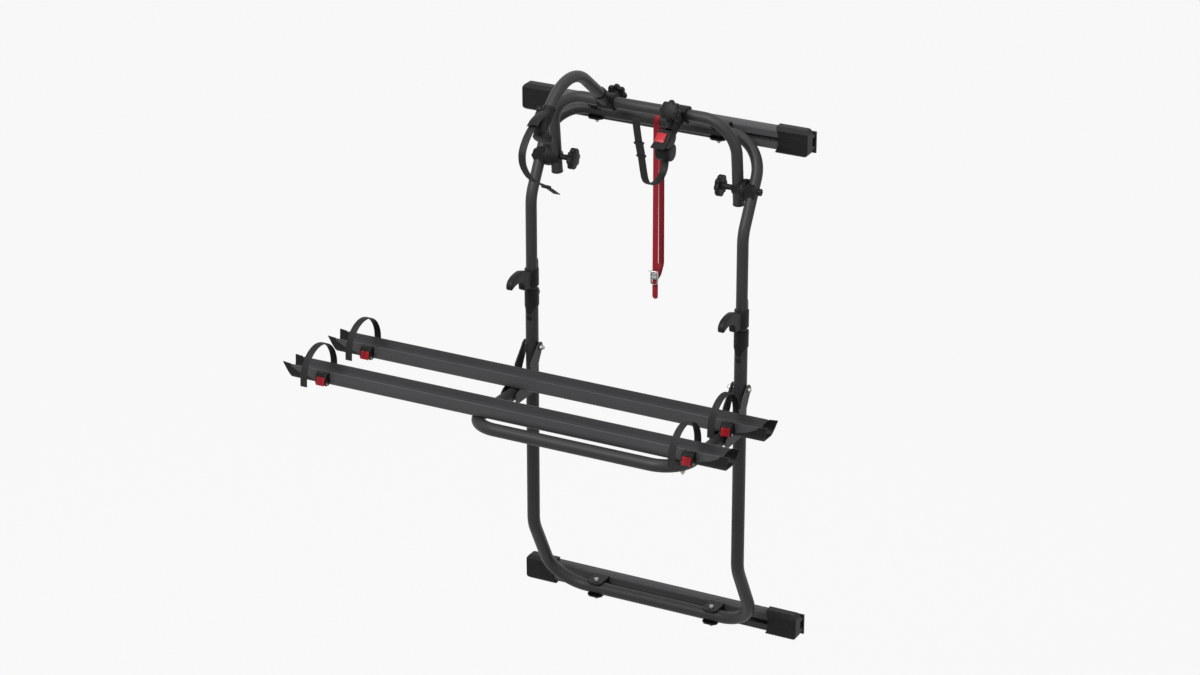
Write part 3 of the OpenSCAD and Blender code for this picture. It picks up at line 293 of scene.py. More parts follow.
tube_coat = finish("anthracite_coat", (0.031, 0.031, 0.0325), 0.48, grain=1400.0, depth=0.01, gloss=0.3)
rail_coat = finish("anthracite_profile", (0.074, 0.074, 0.077), 0.48, grain=1400.0, depth=0.01, gloss=0.25)
plate_coat = finish("anthracite_plate", (0.03, 0.03, 0.0315), 0.5, grain=1400.0, depth=0.01, gloss=0.3)
moulded = finish("black_moulding", (0.0045, 0.0045, 0.005), 0.5, grain=1100.0, depth=0.03, edge_wear_and_highlight=0.5,
                 gloss=0.22)
rubbery = finish("strap_rubber", (0.008, 0.008, 0.008), 0.6, grain=700.0, depth=0.03, gloss=0.3)
red_plastic = finish("red_moulding", (0.52, 0.016, 0.028), 0.4, spread=0.06, grain=1100.0, edge_wear_and_highlight=0.3,
                     gloss=0.35)
zinc = finish("zinc_plate", (0.34, 0.335, 0.32), 0.36, grain=1500.0, metallic=1.0, edge_wear_and_highlight=0.2)
steel = finish("plated_steel", (0.4, 0.4, 0.39), 0.32, grain=800.0, metallic=1.0, edge_wear_and_highlight=0.2)
webbing = finish("red_webbing", (0.36, 0.008, 0.02), 0.7, spread=0.1, grain=600.0, edge_wear_and_highlight=0.1)

by_slot = {"coated_aluminium": rail_coat, "coated_tube": tube_coat, "coated_bracket": plate_coat,
           "black_plastic": moulded, "black_strap": rubbery, "red_plastic": red_plastic,
           "red_webbing": webbing, "zinc_bolt": zinc, "buckle_metal": steel}
slot_of = {row["node"]: row["material_slot"] for row in frame["record"]["subparts"]}
for name, o in nodes.items():
    o.data.materials.clear()
    o.data.materials.append(by_slot[slot_of[name]])
print("finishes", len(by_slot))

# %% [markdown]
# ## Surfaces from arrays
# Almost every small piece here is one of three forms. A slab is an outline with some thickness and
# rounded edges, like a hook or a buckle. A band is a small profile carried along a bent line, like a
# strap. A turned form is a profile spun round an axis, like a knob's stem. All three give a grid of
# points, station by station, so one function can turn any of them into faces.

# %% Grids, outlines and frames
SMOOTH_UNDER = math.radians(38)
mm = 0.001


def shell(points, ends=True, loop=False):
    """Faces for a grid of stations x ring points.

    ends closes both end rings; loop joins the last station to the first. The sum of the faces'
    signed volumes tells whether they point outwards, and if not, each is turned round.
    """
    n, m = points.shape[:2]
    i, j = np.meshgrid(np.arange(n if loop else n - 1), np.arange(m), indexing="ij")
    here, across = i * m + j, i * m + (j + 1) % m
    step = ((i + 1) % n) * m
    quads = np.stack([here, across, step + (j + 1) % m, step + j], axis=-1).reshape(-1, 4)
    corners = points.reshape(-1, 3)
    a, b, c, d = (corners[quads[:, k]] for k in range(4))
    volume = np.einsum("ij,ij->", np.cross(a, b), c) + np.einsum("ij,ij->", np.cross(a, c), d)
    first, last = np.arange(m), np.arange((n - 1) * m, n * m)
    if ends and not loop:
        for rim in (corners[first][::-1], corners[last]):
            volume += np.einsum("ij,ij->", np.cross(rim[0], rim[1:-1]), rim[2:])
    faces = quads.tolist()
    if ends and not loop:
        faces += [first[::-1].tolist(), last.tolist()]
    if volume < 0:
        faces = [face[::-1] for face in faces]
    return corners, faces


def piece(name, shells, material, body, replaces=()):
    """One mesh object from several shells, riding on a body; it may replace CAD nodes."""
    verts = np.concatenate([s[0] for s in shells])
    starts = np.cumsum([0] + [len(s[0]) for s in shells[:-1]])
    faces = [[int(v) + int(start) for v in face] for s, start in zip(shells, starts) for face in s[1]]
    mesh = bpy.data.meshes.new(name)
    mesh.from_pydata(verts.tolist(), [], faces)
    mesh.materials.append(material)
    mesh.shade_smooth()
    mesh.set_sharp_from_angle(angle=SMOOTH_UNDER)
    o = bpy.data.objects.new(name, mesh)
    bpy.context.scene.collection.objects.link(o)
    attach(o, body)
    if replaces:
        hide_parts(*replaces)
    return o


def soft_corners(points, rounds=2):
    """Chaikin's rule on a closed outline: each corner gives way to two points a quarter in from it."""
    p = np.asarray(points, float)
    for _ in range(rounds):
        q = np.roll(p, -1, axis=0)
        p = np.stack([0.75 * p + 0.25 * q, 0.25 * p + 0.75 * q], axis=1).reshape(-1, p.shape[1])
    return p


def drawn(points, rounds=1):
    """An outline written in millimetres, with its corners softened."""
    return soft_corners(np.array(points) * mm, rounds)


def along_line(line):
    """How far along a line each of its points lies: the running sum of the steps between them."""
    return np.concatenate([[0], np.cumsum(np.linalg.norm(np.diff(line, axis=0), axis=1))])


def inset(outline, amount):
    """Moves a closed outline inwards by amount, each point along the mean of its two edge normals."""
    before, after = np.roll(outline, 1, axis=0), np.roll(outline, -1, axis=0)
    along = after - before
    normal = np.stack([along[:, 1], -along[:, 0]], axis=1)
    normal /= np.linalg.norm(normal, axis=1, keepdims=True) + 1e-12
    area = np.sum(outline[:, 0] * after[:, 1] - outline[:, 1] * after[:, 0])
    return outline - normal * amount * (1 if area > 0 else -1)


def slab(outline, half, edge, spot, steps=4):
    """A flat form: the outline at full size between rounded edges of radius edge, half thick to each side.

    spot(a, b, t) places outline coordinates a, b and the height t across the slab.
    """
    turn = np.linspace(0, math.pi / 2, steps)
    rims = [(edge * (1 - math.sin(u)), -half + edge * (1 - math.cos(u))) for u in turn]
    rims += [(e, -t) for e, t in rims[::-1]]
    rings = []
    for e, t in rims:
        ring = inset(outline, e)
        rings.append(spot(ring[:, 0], ring[:, 1], np.full(len(ring), t)))
    return shell(np.stack(rings))


def unit(v):
    """The vector v at length 1."""
    return np.asarray(v, float) / np.linalg.norm(v)


def turned(profile, base, axis, around=48, lobes=0, depth=0.0, lobe_from=0.0):
    """Spins a profile of (radius, distance along) round an axis; lobes scallop each radius past lobe_from."""
    w = unit(axis)
    u = unit(np.cross(w, (0, 0, 1) if abs(w[2]) < 0.9 else (1, 0, 0)))
    v = np.cross(w, u)
    angle = np.linspace(0, 2 * math.pi, around, endpoint=False)
    p = np.asarray(profile, float)
    scallop = 1 - depth * (0.5 - 0.5 * np.cos(lobes * angle)) ** 1.5 if lobes else np.ones(around)
    share = np.clip((p[:, 0] - lobe_from) / max(p[:, 0].max() - lobe_from, 1e-9), 0, 1)[:, None]
    r = p[:, :1] * (1 + (scallop[None] - 1) * share)
    spokes = np.cos(angle)[:, None] * u + np.sin(angle)[:, None] * v
    return np.asarray(base, float) + r[..., None] * spokes + p[:, 1][:, None, None] * w


NEAR_HALF_TURN = 3.1  # a bend past this angle is turned with the line's direction, not between its ends


def bent_line(points, bends, step=0.004):
    """Points along straight lines joined by round bends of the given radii, about step apart."""
    p = np.asarray(points, float)
    out = [p[:1]]
    for i in range(1, len(p) - 1):
        a, b = unit(p[i - 1] - p[i]), unit(p[i + 1] - p[i])
        half = math.acos(np.clip(np.dot(a, b), -1, 1)) / 2
        back = bends[i] / math.tan(half)
        centre = p[i] + unit(a + b) * bends[i] / math.sin(half)
        x, y = unit(p[i] + a * back - centre), unit(p[i] + b * back - centre)
        sweep = math.acos(np.clip(np.dot(x, y), -1, 1))
        t = np.linspace(0, 1, max(5, int(sweep * bends[i] / step)))[:, None]
        if sweep < NEAR_HALF_TURN:
            arc = (x * np.sin((1 - t) * sweep) + y * np.sin(t * sweep)) / math.sin(sweep)
        else:
            arc = x * np.cos(t * sweep) + unit(-a) * np.sin(t * sweep)
        out.append(centre + bends[i] * arc)
    out.append(p[-1:])
    joined = np.concatenate(out)
    length = along_line(joined)
    keep = np.concatenate([[True], np.diff(length) > 1e-7])
    even = np.linspace(0, length[-1], max(4, int(length[-1] / step)))
    return np.stack([np.interp(even, length[keep], joined[keep][:, k]) for k in range(3)], axis=1)


def band(line, across, width, thick, edge=0.3, tooth=None, around=12):
    """Carries a flat profile with rounded sides along a line; across is the direction of its width.

    tooth(s) may give, for each distance s along the line, how far the outer face is cut in.
    """
    line = np.asarray(line, float)
    tangent = np.gradient(line, axis=0)
    tangent /= np.linalg.norm(tangent, axis=1, keepdims=True)
    w = unit(across)
    out = np.cross(tangent, w)
    out /= np.linalg.norm(out, axis=1, keepdims=True)
    t = np.linspace(0, 2 * math.pi, around, endpoint=False) + math.pi / around
    x = np.sign(np.cos(t)) * np.abs(np.cos(t)) ** edge * width / 2
    y = np.sign(np.sin(t)) * np.abs(np.sin(t)) ** 0.6 * thick / 2
    s = along_line(line)
    cut = np.zeros(len(s)) if tooth is None else tooth(s)
    wide = np.abs(x) < width * 0.49
    y = np.where((y > 0) & wide, y[None] - cut[:, None], y[None])
    return line[:, None] + x[None, :, None] * w + y[..., None] * out[:, None]


print("surface tools ready, smooth under", round(math.degrees(SMOOTH_UNDER)), "degrees")

# %% [markdown]
# ## Places on the rack
# Pieces are drawn in the plane they are made in and then set in place. A side view uses reach from
# the wall and height; a channel has the same two, but leans with the platform and starts at the top
# of the tube that carries it.

# %% Side planes and channel planes
LEG_X, LEG_Y = 0.298, 0.2015  # the uprights' places across and out from the wall
BASE_Z = 0.212  # where the upper tube comes out of the lower one
LOW_TUBE, UP_TUBE = 0.0168, 0.0147  # radii
REAR, FORE = 0.288, 0.5095  # how far out the two channels are
ARM_Z, LEAN = -0.041, math.radians(3.3)  # the platform tube's height at the rear channel, and its lean
STRAPS = {"left": -0.7345, "right": 0.3106}  # the wheel straps' places across


def side(x):
    """Reach, height and the distance across become a point about the plane x."""
    return lambda a, b, t: np.stack([x + t, -a, b], axis=-1)


def on_channel(reach, x):
    """As side, for a channel at this reach: outward and up are turned by the platform's lean."""
    height = ARM_Z + (reach - REAR) * math.tan(LEAN)
    c, s = math.cos(LEAN), math.sin(LEAN)

    def spot(a, b, t):
        up = LOW_TUBE + b
        return np.stack([x + t, -reach - a * c + up * s, height + a * s + up * c], axis=-1)
    return spot


print("rear strap foot", on_channel(REAR, STRAPS["left"])(np.array(-0.034), np.array(0.009), np.array(0.0)))

# %% [markdown]
# ## Wheel straps
# Each wheel is held by a stiff strap that comes out of a slot in the channel's back wall, arches over
# the tyre and hangs in front. Its outer face has fine ratchet teeth, made here by cutting the band's
# outer face in by a saw-tooth of the distance along it.

# %% Four ratchet straps
STRAP_W, STRAP_T, ARCH = 0.0195, 0.003, 0.074  # width, thickness, radius of the arch
TOOTH, TOOTH_DEEP, PLAIN = 0.0026, 0.0007, 0.06  # pitch and depth of the teeth, length left plain
SLOT_IN, SLOT_UP, BACK = -0.021, 0.009, -0.0337  # the slot's place, and where the strap rises behind it
HANG, TOP = 0.020, 0.1115  # heights of the loose end and of the arch's centre
SLOT_BEND = 0.004


def saw(s):
    """A saw-tooth of the distance along, left off for the first stretch out of the slot."""
    return np.where(s > PLAIN, (s / TOOTH) % 1.0 * TOOTH_DEEP, 0.0)


for row, reach in (("rear", REAR), ("front", FORE)):
    for end, x in STRAPS.items():
        spot = on_channel(reach, x)
        corners = np.array([(SLOT_IN, SLOT_UP), (BACK, SLOT_UP), (BACK, TOP), (BACK + 2 * ARCH, TOP),
                            (BACK + 2 * ARCH, HANG)])
        route = spot(corners[:, 0], corners[:, 1], np.zeros(len(corners)))
        line = bent_line(route, [0, SLOT_BEND, ARCH, ARCH, 0], step=TOOTH / 4)
        toothed = shell(band(line, (1, 0, 0), STRAP_W, STRAP_T, tooth=saw))
        o = piece(f"{row}_{end}_ratchet_strap", [toothed], rubbery, "platform", (f"{row}_{end}_strap",))
        foot = spot(np.array(BACK), np.array(SLOT_UP), np.array(0.0))
        tuple(map(float, foot))
        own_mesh(o)
print("strap stations", len(line))

# %% [markdown]
# ## Channel caps
# Each end of a channel wears a thin moulded skin that covers the section inside and out and is open
# at its end. The end is cut at a slant, longest at the rims, and outside the edge sweeps far back
# along the floor. Both follow from the height on the wall, as a share q of the whole height:
# end(q) = low + (high - low) q^1.2, and the sweeps are read between a few measured heights.

# %% Four channel caps
HALF_W, WALL_H, WALL_T = 0.032, 0.0375, 0.0024  # the channel's half width, height and wall
SKIN, ROUND = 0.0006, 0.0008  # the cap's own skin, and the rounding of its edges
half_section = [(1, 1), (1, 0.9), (0.99, 0.5), (0.95, 0.3), (0.87, 0.13), (0.74, 0.03), (0.6, 0)]
section = np.array(half_section + [(-a, q) for a, q in half_section[::-1]])
run = along_line(section * (HALF_W, WALL_H))
even = np.unique(np.concatenate([run, np.linspace(0, run[-1], 80)]))
wall_a, wall_q = (np.interp(even, run, section[:, k]) for k in (0, 1))
sweep_q = [0, 0.03, 0.13, 0.3, 0.5, 0.75, 0.9, 1]
sweep_back = [0.080, 0.079, 0.074, 0.058, 0.032, 0.012, 0.003, 0.0]
inner_q, inner_back = [0, 0.2, 0.56, 0.8, 1], [0.024, 0.022, 0.015, 0.008, 0.001]
FLARE = 0.002  # how much higher the rims stand at the open end
# The channel's end, which way it points, how far the cap passes it: low in front, low behind, at the rims
CAP_ENDS = {"left": (-0.827, -1, -0.002, 0.021, 0.0215), "right": (0.405, 1, 0.011, 0.010, 0.0225)}
for row, reach in (("rear", REAR), ("front", FORE)):
    caps = []
    for edge, way, low_front, low_back, high in CAP_ENDS.values():
        low = np.interp(wall_a, [-0.6, 0.6], [low_back, low_front])
        out = low + (high - low) * wall_q ** 1.2
        back = -np.interp(wall_q, sweep_q, sweep_back)
        inner = -np.interp(wall_q, inner_q, inner_back)
        deep = -WALL_T - SKIN
        loop = [(back, 0), (back + ROUND, SKIN), (out - ROUND, SKIN), (out, SKIN - ROUND),
                (out, ROUND - WALL_T - SKIN), (out - ROUND, deep), (inner, deep), (inner - ROUND, -WALL_T)]
        rim = np.where(wall_q > 0.999, SKIN, 0.0)
        rings = []
        for k, (along_x, grow) in enumerate(loop):
            lift = rim + FLARE * np.clip(wall_q * 2 - 1, 0, 1) * (2 <= k <= 5)
            a, b = wall_a * (HALF_W + grow), wall_q * (WALL_H + grow) - grow + lift
            rings.append(on_channel(reach, 0.0)(a, b, edge + way * along_x))
        caps.append(shell(np.stack(rings, axis=1)))
    piece(f"{row}_channel_caps", caps, moulded, "platform", (f"{row}_channel_tips",))
print("stations round a cap", len(even))

# %% [markdown]
# ## Ratchet buckles and their levers
# A buckle is a black housing on the channel's front wall with a red lever between two cheeks. Both
# are slabs: the outline is drawn from the side, softened, and given rounded edges.

# %% Buckles and levers
housing = drawn([(30, 36), (38, 37), (44.5, 35), (49.5, 29), (50.8, 22), (46, 21), (44.5, 6), (47, 3),
                 (30, 3)])
cheek = drawn([(30, 36), (38, 37), (45, 35), (50.5, 29), (52.5, 14), (51, 6), (47, 3), (30, 3)])
paddle = drawn([(45.2, 25), (49.5, 27), (53, 25.5), (54.4, 12), (56, 6), (53.5, 4.5), (49, 9), (45.5, 11)])
pin_head = [(0, 0), (0.0028, 0), (0.0030, 0.0005), (0.0030, 0.0012), (0.0024, 0.0018), (0, 0.0019)]
BUCKLE_HALF, PADDLE_HALF, CHEEK_HALF = 0.0158, 0.0122, 0.0014  # half widths
ASIDE = 0.0112  # how far to the right of its strap a buckle stands
PIN = np.array(0.047), np.array(0.0099), np.array(0.0)  # the lever's pin: outward, up, across
for row, reach in (("rear", REAR), ("front", FORE)):
    shells, pins = [], []
    for end, strap_x in STRAPS.items():
        x = strap_x + ASIDE
        shells.append(slab(housing, PADDLE_HALF + 0.0005, 0.0004, on_channel(reach, x)))
        for s in (-1, 1):
            beside = on_channel(reach, x + s * (BUCKLE_HALF - CHEEK_HALF))
            shells.append(slab(cheek, CHEEK_HALF, 0.0008, beside))
        piece(f"{row}_{end}_paddle", [slab(paddle, PADDLE_HALF, 0.0012, on_channel(reach, x))], red_plastic,
              f"{row}_{end}_latch", (f"{row}_{end}_lever",))
        pin = on_channel(reach, x)(*PIN)
        for s in (-1, 1):
            cheek_face = pin + np.array([s * BUCKLE_HALF, 0, 0])
            pins.append(shell(turned(pin_head, cheek_face, (s, 0, 0), around=20)))
    piece(f"{row}_buckle_housings", shells, moulded, "platform", (f"{row}_buckles",))
    piece(f"{row}_buckle_pins", pins, zinc, "platform")
print("buckle outline points", len(housing))

# %% [markdown]
# ## Star knobs
# The clamps are tightened by star knobs: a dished head with rounded lobes on a stem that flares
# into it. The head is a turned profile whose radius is scalloped with the angle, more so towards
# the rim, so the hub stays round.

# %% Four knobs
def star_knob(base, axis, radius, stem, stem_r, tall):
    """A flared stem, the underside running out to a thick rim, and a shallow crown, eight lobes round it.

    The head's rings are shares of its radius, and their heights are the stem and shares of tall.
    """
    stem_rings = [(0, -0.002), (stem_r, -0.002), (stem_r, stem * 0.45), (stem_r * 1.15, stem * 0.75),
                  (stem_r * 1.6, stem)]
    under_share = [(0.62, 0.06), (0.86, -0.10), (0.965, -0.02)]
    rim_share = [(1, 0.16), (1, 0.42), (0.955, 0.62), (0.86, 0.76), (0.66, 0.88), (0.40, 0.96), (0.2, 0.99)]
    head = [(radius * r, stem + tall * h) for r, h in under_share + rim_share]
    profile = stem_rings + head + [(0.0005, stem + tall)]
    return shell(turned(profile, base, axis, around=96, lobes=8, depth=0.17, lobe_from=radius * 0.45))


KNOB_GAP, KNOB_TALL = 0.0003, 0.016  # how far a knob stands off, and the height of its head
HINGE_Y, HINGE_Z = 0.143, 0.567  # the clamp hinges' reach and height
BAR_X, BAR_TUBE = 0.2556, 0.0146  # the holder bar's legs across, and its tube's radius
for end, s in (("left", -1), ("right", 1)):
    base = (s * (BAR_X - BAR_TUBE - KNOB_GAP), -HINGE_Y, HINGE_Z)
    piece(f"{end}_star_knob", [star_knob(base, (-s, 0, 0), 0.029, 0.0285, 0.0072, KNOB_TALL)], moulded,
          f"{end}_hinge_knob", (f"hinge_knob_{end}",))
BAR_MID = np.array([0.163, 0.746])  # the holder bar's reach and height
LONG_X, SHORT_X = -0.098, 0.105  # the two arms' places across
# Each arm's place, the way its knob points as reach and height, how far the boss stands out, the stem
for arm, x, way, boss, stem in (("long", LONG_X, (-1, 0.05), 0.026, 0.017),
                                ("short", SHORT_X, (1, 0.42), 0.038, 0.022)):
    axis = unit((0, -way[0], way[1]))
    base = np.array([x, -BAR_MID[0], BAR_MID[1]]) + axis * (boss + KNOB_GAP)
    piece(f"{arm}_star_knob", [star_knob(base, axis, 0.0285, stem, 0.0068, KNOB_TALL)], moulded,
          f"{arm}_clamp_knob", (f"{arm}_arm_knob",))
print("knobs on", BAR_MID)

# %% [markdown]
# ## Hooks
# A moulded hook slides on each upright: a collar round the tube and a beak that keeps the platform's
# front bar when it is folded up. The beak is one slab whose outline is softened with Chaikin's rule.

# %% Hooks
HOOK_REACH, HOOK_H, HOOK_W, COLLAR = 0.1225, 0.075, 0.018, 0.0188  # reach, height, width, collar's radius
COLLAR_LOW, COLLAR_HIGH, SLIDE_GAP = 0.013, 0.059, 0.0003  # the collar's ends, and its play on the tube
beak_share = [(0.14, 0.19), (0.28, 0.18), (0.36, 0.215), (0.46, 0.245), (0.462, 0.42), (0.5, 0.52),
              (0.57, 0.59), (0.66, 0.635), (0.76, 0.64), (0.86, 0.615), (0.93, 0.575), (0.98, 0.55), (1, 0.6),
              (1, 0.73), (0.97, 0.82), (0.9, 0.91), (0.8, 0.965), (0.68, 0.995), (0.54, 1), (0.43, 0.95),
              (0.31, 0.875), (0.2, 0.81), (0.12, 0.79), (0.12, 0.5)]
beak = soft_corners(np.array(beak_share) * (HOOK_REACH, HOOK_H), 2)


def ring(profile, base, axis, around=48):
    """A turned form whose profile is itself closed, like a collar with a bore."""
    return shell(turned(profile, base, axis, around), ends=False, loop=True)


def collar(bore, wall, low, high, edge=0.0012):
    """Closed profile of a collar with rounded ends, as radius and height."""
    return [(bore, low), (wall - edge, low), (wall, low + edge), (wall, high - edge), (wall - edge, high),
            (bore, high)]


ear = drawn([(-15, 20), (-22, 32), (-24, 36), (-24, 80), (-16.5, 80), (-16.5, 44), (-14, 36)])
for end, s in (("left", -1), ("right", 1)):
    x = s * LEG_X
    base = (x, -LEG_Y, BASE_Z)
    place = side(x)
    parts = [ring(collar(UP_TUBE + SLIDE_GAP, COLLAR, COLLAR_LOW, COLLAR_HIGH), base, (0, 0, 1)),
             slab(beak + (LEG_Y, BASE_Z), HOOK_W / 2, 0.0035, place),
             slab(ear + (LEG_Y, BASE_Z), 0.0075, 0.0012, place)]
    piece(f"{end}_beak_hook", parts, moulded, f"{end}_hook", (f"hook_{end}",))
print("beak points", len(beak))

# %% [markdown]
# ## The red tie strap
# One length of woven webbing is looped over the upper cross bar; both strands run down into a small
# cam buckle. Webbing is a band with thin rounded sides, and its weave belongs to the material.

# %% Tie strap and its cam buckle
TIE_X, TIE_W, TIE_T = 0.004, 0.0156, 0.002  # place, width and thickness of the webbing
TIE_GAP = 0.0001  # between the webbing and the bar, and between its two strands
TIE_TIP, TIE_STEP = 0.0065, 0.0015  # length of its rounded end, and of a step along it
CROSS_Y, CROSS_Z = 0.080, 0.684  # the cross bar's reach and height
tie_loop = UP_TUBE + TIE_GAP + TIE_T / 2
front_y, back_y = -CROSS_Y - tie_loop, -CROSS_Y + tie_loop
near_y = front_y + TIE_T + TIE_GAP
route = [(TIE_X, front_y, 0.205), (TIE_X, front_y, CROSS_Z + tie_loop), (TIE_X, back_y, CROSS_Z + tie_loop),
         (TIE_X, -0.061, 0.2905), (TIE_X, -0.077, 0.266), (TIE_X, near_y, 0.259)]
line = bent_line(route, [0, tie_loop, tie_loop, 0.02, 0.02, 0], step=TIE_STEP)
ribbon = band(line, (1, 0, 0), TIE_W, TIE_T, edge=0.15)
from_end = np.arange(len(line)) * TIE_STEP / TIE_TIP
narrow = np.sqrt(np.clip(1 - (1 - np.clip(from_end, 0, 1)) ** 2, 0.04, 1))
ribbon[..., 0] = TIE_X + (ribbon[..., 0] - TIE_X) * narrow[:, None]
piece("red_tie_webbing", [shell(ribbon)], webbing, "upper_frame", ("tie_strap",))

# The buckle: a wire frame round the webbing, a roller and a rod across it, a fixed plate and the cam lever
wire = drawn([(-9.2, 282), (-9.2, 266), (-9.2, 255), (-8.8, 249.5), (-4, 247.2), (4, 247.2), (8.8, 249.5),
              (9.2, 255), (9.2, 266), (9.2, 282)], 2)
CAM_X, CAM_Y, CAM_HALF = 0.0042, 0.1015, 0.0073  # the frame's place and reach, half the lever's width
around_frame = np.stack([CAM_X + wire[:, 0], np.full(len(wire), -CAM_Y), wire[:, 1]], axis=1)
roller = [(0, -10.5), (1.4, -10.5), (1.4, -8.5), (1.0, -8), (1.0, -4.5), (2.9, -4.5), (2.9, 15.4), (0, 15.4)]
rod = [(0, -3.5), (1.4, -3.5), (1.4, 14.5), (0, 14.5)]
parts = [shell(band(around_frame, (0, 1, 0), 0.006, 0.0023, edge=0.5), ends=False, loop=True),
         shell(turned(np.array(roller) * mm, (-0.0015, -0.1025, 0.2818), (1, 0, 0), 20)),
         shell(turned(np.array(rod) * mm, (-0.0012, -0.1025, 0.2655), (1, 0, 0), 16))]
plate = drawn([(101.2, 279), (103.8, 279), (104.4, 272.5), (101.8, 272.5)])
parts.append(slab(plate, CAM_HALF, 0.0005, side(CAM_X)))
cam = drawn([(101.8, 271.5), (104.4, 271.5), (105.2, 264), (104.4, 261.9), (102.8, 262.5)])
piece("tie_cam_frame", parts, steel, "upper_frame", ("tie_buckle",))
piece("tie_cam_lever", [slab(cam, CAM_HALF, 0.0006, side(CAM_X))], steel, "tie_latch", ("tie_lever",))
print("tie strap is", round(float(along_line(line)[-1]), 3), "m long")

# %% [markdown]
# ## The long arm's holder
# At the end of the long arm a moulded holder turns on the tube. It has a body with a curved hood, out
# of which the strap comes, a pad that rests on the bicycle's frame, and a small catch at its side.
# These are drawn in the holder's own axes: across the rack, along the tube, and up and outwards.

# %% Curves through points, and the holder's axes
def through(points, step=0.003):
    """A Catmull-Rom curve: between two points, the cubic whose end slopes are half the spans around them."""
    p = np.asarray(points, float)
    p = np.concatenate([2 * p[:1] - p[1:2], p, 2 * p[-1:] - p[-2:-1]])
    t = np.linspace(0, 1, 12, endpoint=False)[None, :, None]
    a, b, c, d = (p[k:len(p) - 3 + k, None] for k in range(4))
    square, cube = 2 * a - 5 * b + 4 * c - d, 3 * b - a - 3 * c + d
    curve = 0.5 * (2 * b + (c - a) * t + square * t ** 2 + cube * t ** 3)
    curve = np.concatenate([curve.reshape(-1, p.shape[1]), p[-2:-1]])
    s = along_line(curve)
    even = np.linspace(0, s[-1], max(6, int(s[-1] / step)))
    return np.stack([np.interp(even, s, curve[:, k]) for k in range(p.shape[1])], axis=1)


HALF = math.sqrt(0.5)  # the holder's tube comes down at 45 degrees
HOLD = np.array([LONG_X, -0.504, 0.791])
HX, HY, HZ = np.array([1.0, 0, 0]), np.array([0, -HALF, HALF]), np.array([0, -HALF, -HALF])


def in_holder(a, b, t):
    """a across, b along the tube and t up and outwards become a point of the rack."""
    a, b, t = (np.asarray(v)[..., None] for v in (a, b, t))
    return HOLD + a * HX + t * HY + b * HZ


socket = [(0.0147, -0.048), (0.0170, -0.048), (0.0178, -0.047), (0.0178, -0.040), (0.0168, -0.039),
          (0.0168, -0.018), (0.0172, -0.013), (0.0158, -0.009), (0.0145, -0.004), (0.0140, 0.004),
          (0.0140, 0.024), (0.0, 0.024), (0.0, -0.0215), (0.0147, -0.0215)]
parts = [shell(turned(socket, HOLD, HZ, 56), ends=False, loop=True)]
core = drawn([(-31, 15.6), (-28, 21), (-17, 26), (-4, 30), (8, 32), (19, 29), (27, 20), (31, 10), (31, -8),
              (-16, -8), (-18, 15.6)])
parts.append(slab(core, 0.0125, 0.0025, lambda b, t, a: in_holder(a, b, t)))
PAD_AT, LUG_APART = 0.029, 0.0138  # the pad's place along the tube, and each lug's from the middle
pad = drawn([(-18, -29), (31, -29), (31, 14), (-18, 14)], 3)
parts.append(slab(pad, 0.007, 0.0025, lambda a, t, b: in_holder(a, PAD_AT + b, t)))
lug = drawn([(-27, -41), (-14, -42), (-12, -30), (-27, -31)])
for t in (-1, 1):
    parts.append(slab(lug, 0.0015, 0.0006, lambda a, b, c, t=t: in_holder(a, b, c + t * LUG_APART)))
lug_pin = [(0, -0.0155), (0.0022, -0.0155), (0.0022, 0.0155), (0, 0.0155)]
parts.append(shell(turned(lug_pin, in_holder(np.array(-0.0225), np.array(-0.036), np.array(0.0)), HY, 16)))

# %% [markdown]
# The hood is a cambered shell carried along a curve. Its thickness falls towards the lip, its middle
# stands higher than its sides, and the lip is cut at a slant, so that it is longest on the left.

# %% Hood
HOOD_ROOT, HOOD_LIP, HOOD_ASIDE = 0.0125, 0.0150, 0.0025  # half widths at both ends, shift to the right
HOOD_THICK, HOOD_THINS = 0.0024, 0.0010  # half thickness at the root, and how much the lip is thinner
CAMBER, SLANT = 0.0022, 0.206  # how high the middle stands, and the slope of the lip's cut
course = through(np.array([(-24, 22), (-12, 32.5), (0.3, 42), (13.8, 49.6), (24, 53), (33, 55)]) * mm, 0.002)
along = np.linspace(0, 1, len(course))[:, None]
turn = np.linspace(0, 2 * math.pi, 32, endpoint=False)[None]
half_width = HOOD_ROOT + (HOOD_LIP - HOOD_ROOT) * np.sqrt(along)
wide = half_width * np.sign(np.cos(turn)) * np.abs(np.cos(turn)) ** 0.45
thick = (HOOD_THICK - HOOD_THINS * along) * np.sign(np.sin(turn)) * np.abs(np.sin(turn)) ** 0.7
camber = CAMBER * (1 - (wide / HOOD_LIP) ** 2)
tangent = np.gradient(course, axis=0)
tangent /= np.linalg.norm(tangent, axis=1, keepdims=True)
normal = np.stack([-tangent[:, 1], tangent[:, 0]], axis=1)
lift = (thick + camber)[..., None] * normal[:, None]
slant = SLANT * (wide + HOOD_LIP) * along ** 3
hood = in_holder(HOOD_ASIDE + wide, course[:, None, 0] + lift[..., 0] - slant,
                 course[:, None, 1] + lift[..., 1])
piece("long_arm_holder", parts + [shell(hood)], moulded, "long_bike_holder", ("long_holder",))
catch = drawn([(-26, -39.5), (-20.5, -40.5), (-18.4, -36), (-18.8, -24), (-19.5, -10), (-21, -4), (-24.3, -3),
               (-26.6, -12), (-27, -28)])
piece("long_arm_catch", [slab(catch, 0.0116, 0.0012, in_holder)], moulded, "long_flap", ("long_holder_flap",))
print("hood stations", len(course))

# %% [markdown]
# ## The two frame straps
# A stiff ratchet strap comes out of each holder, ready to go round a bicycle's frame tube, and keeps
# the curl it was packed with. Both curl in a plane across the rack's depth, so their path is drawn as
# reach and height, a Catmull-Rom curve through points, and the band's width lies along the rack.

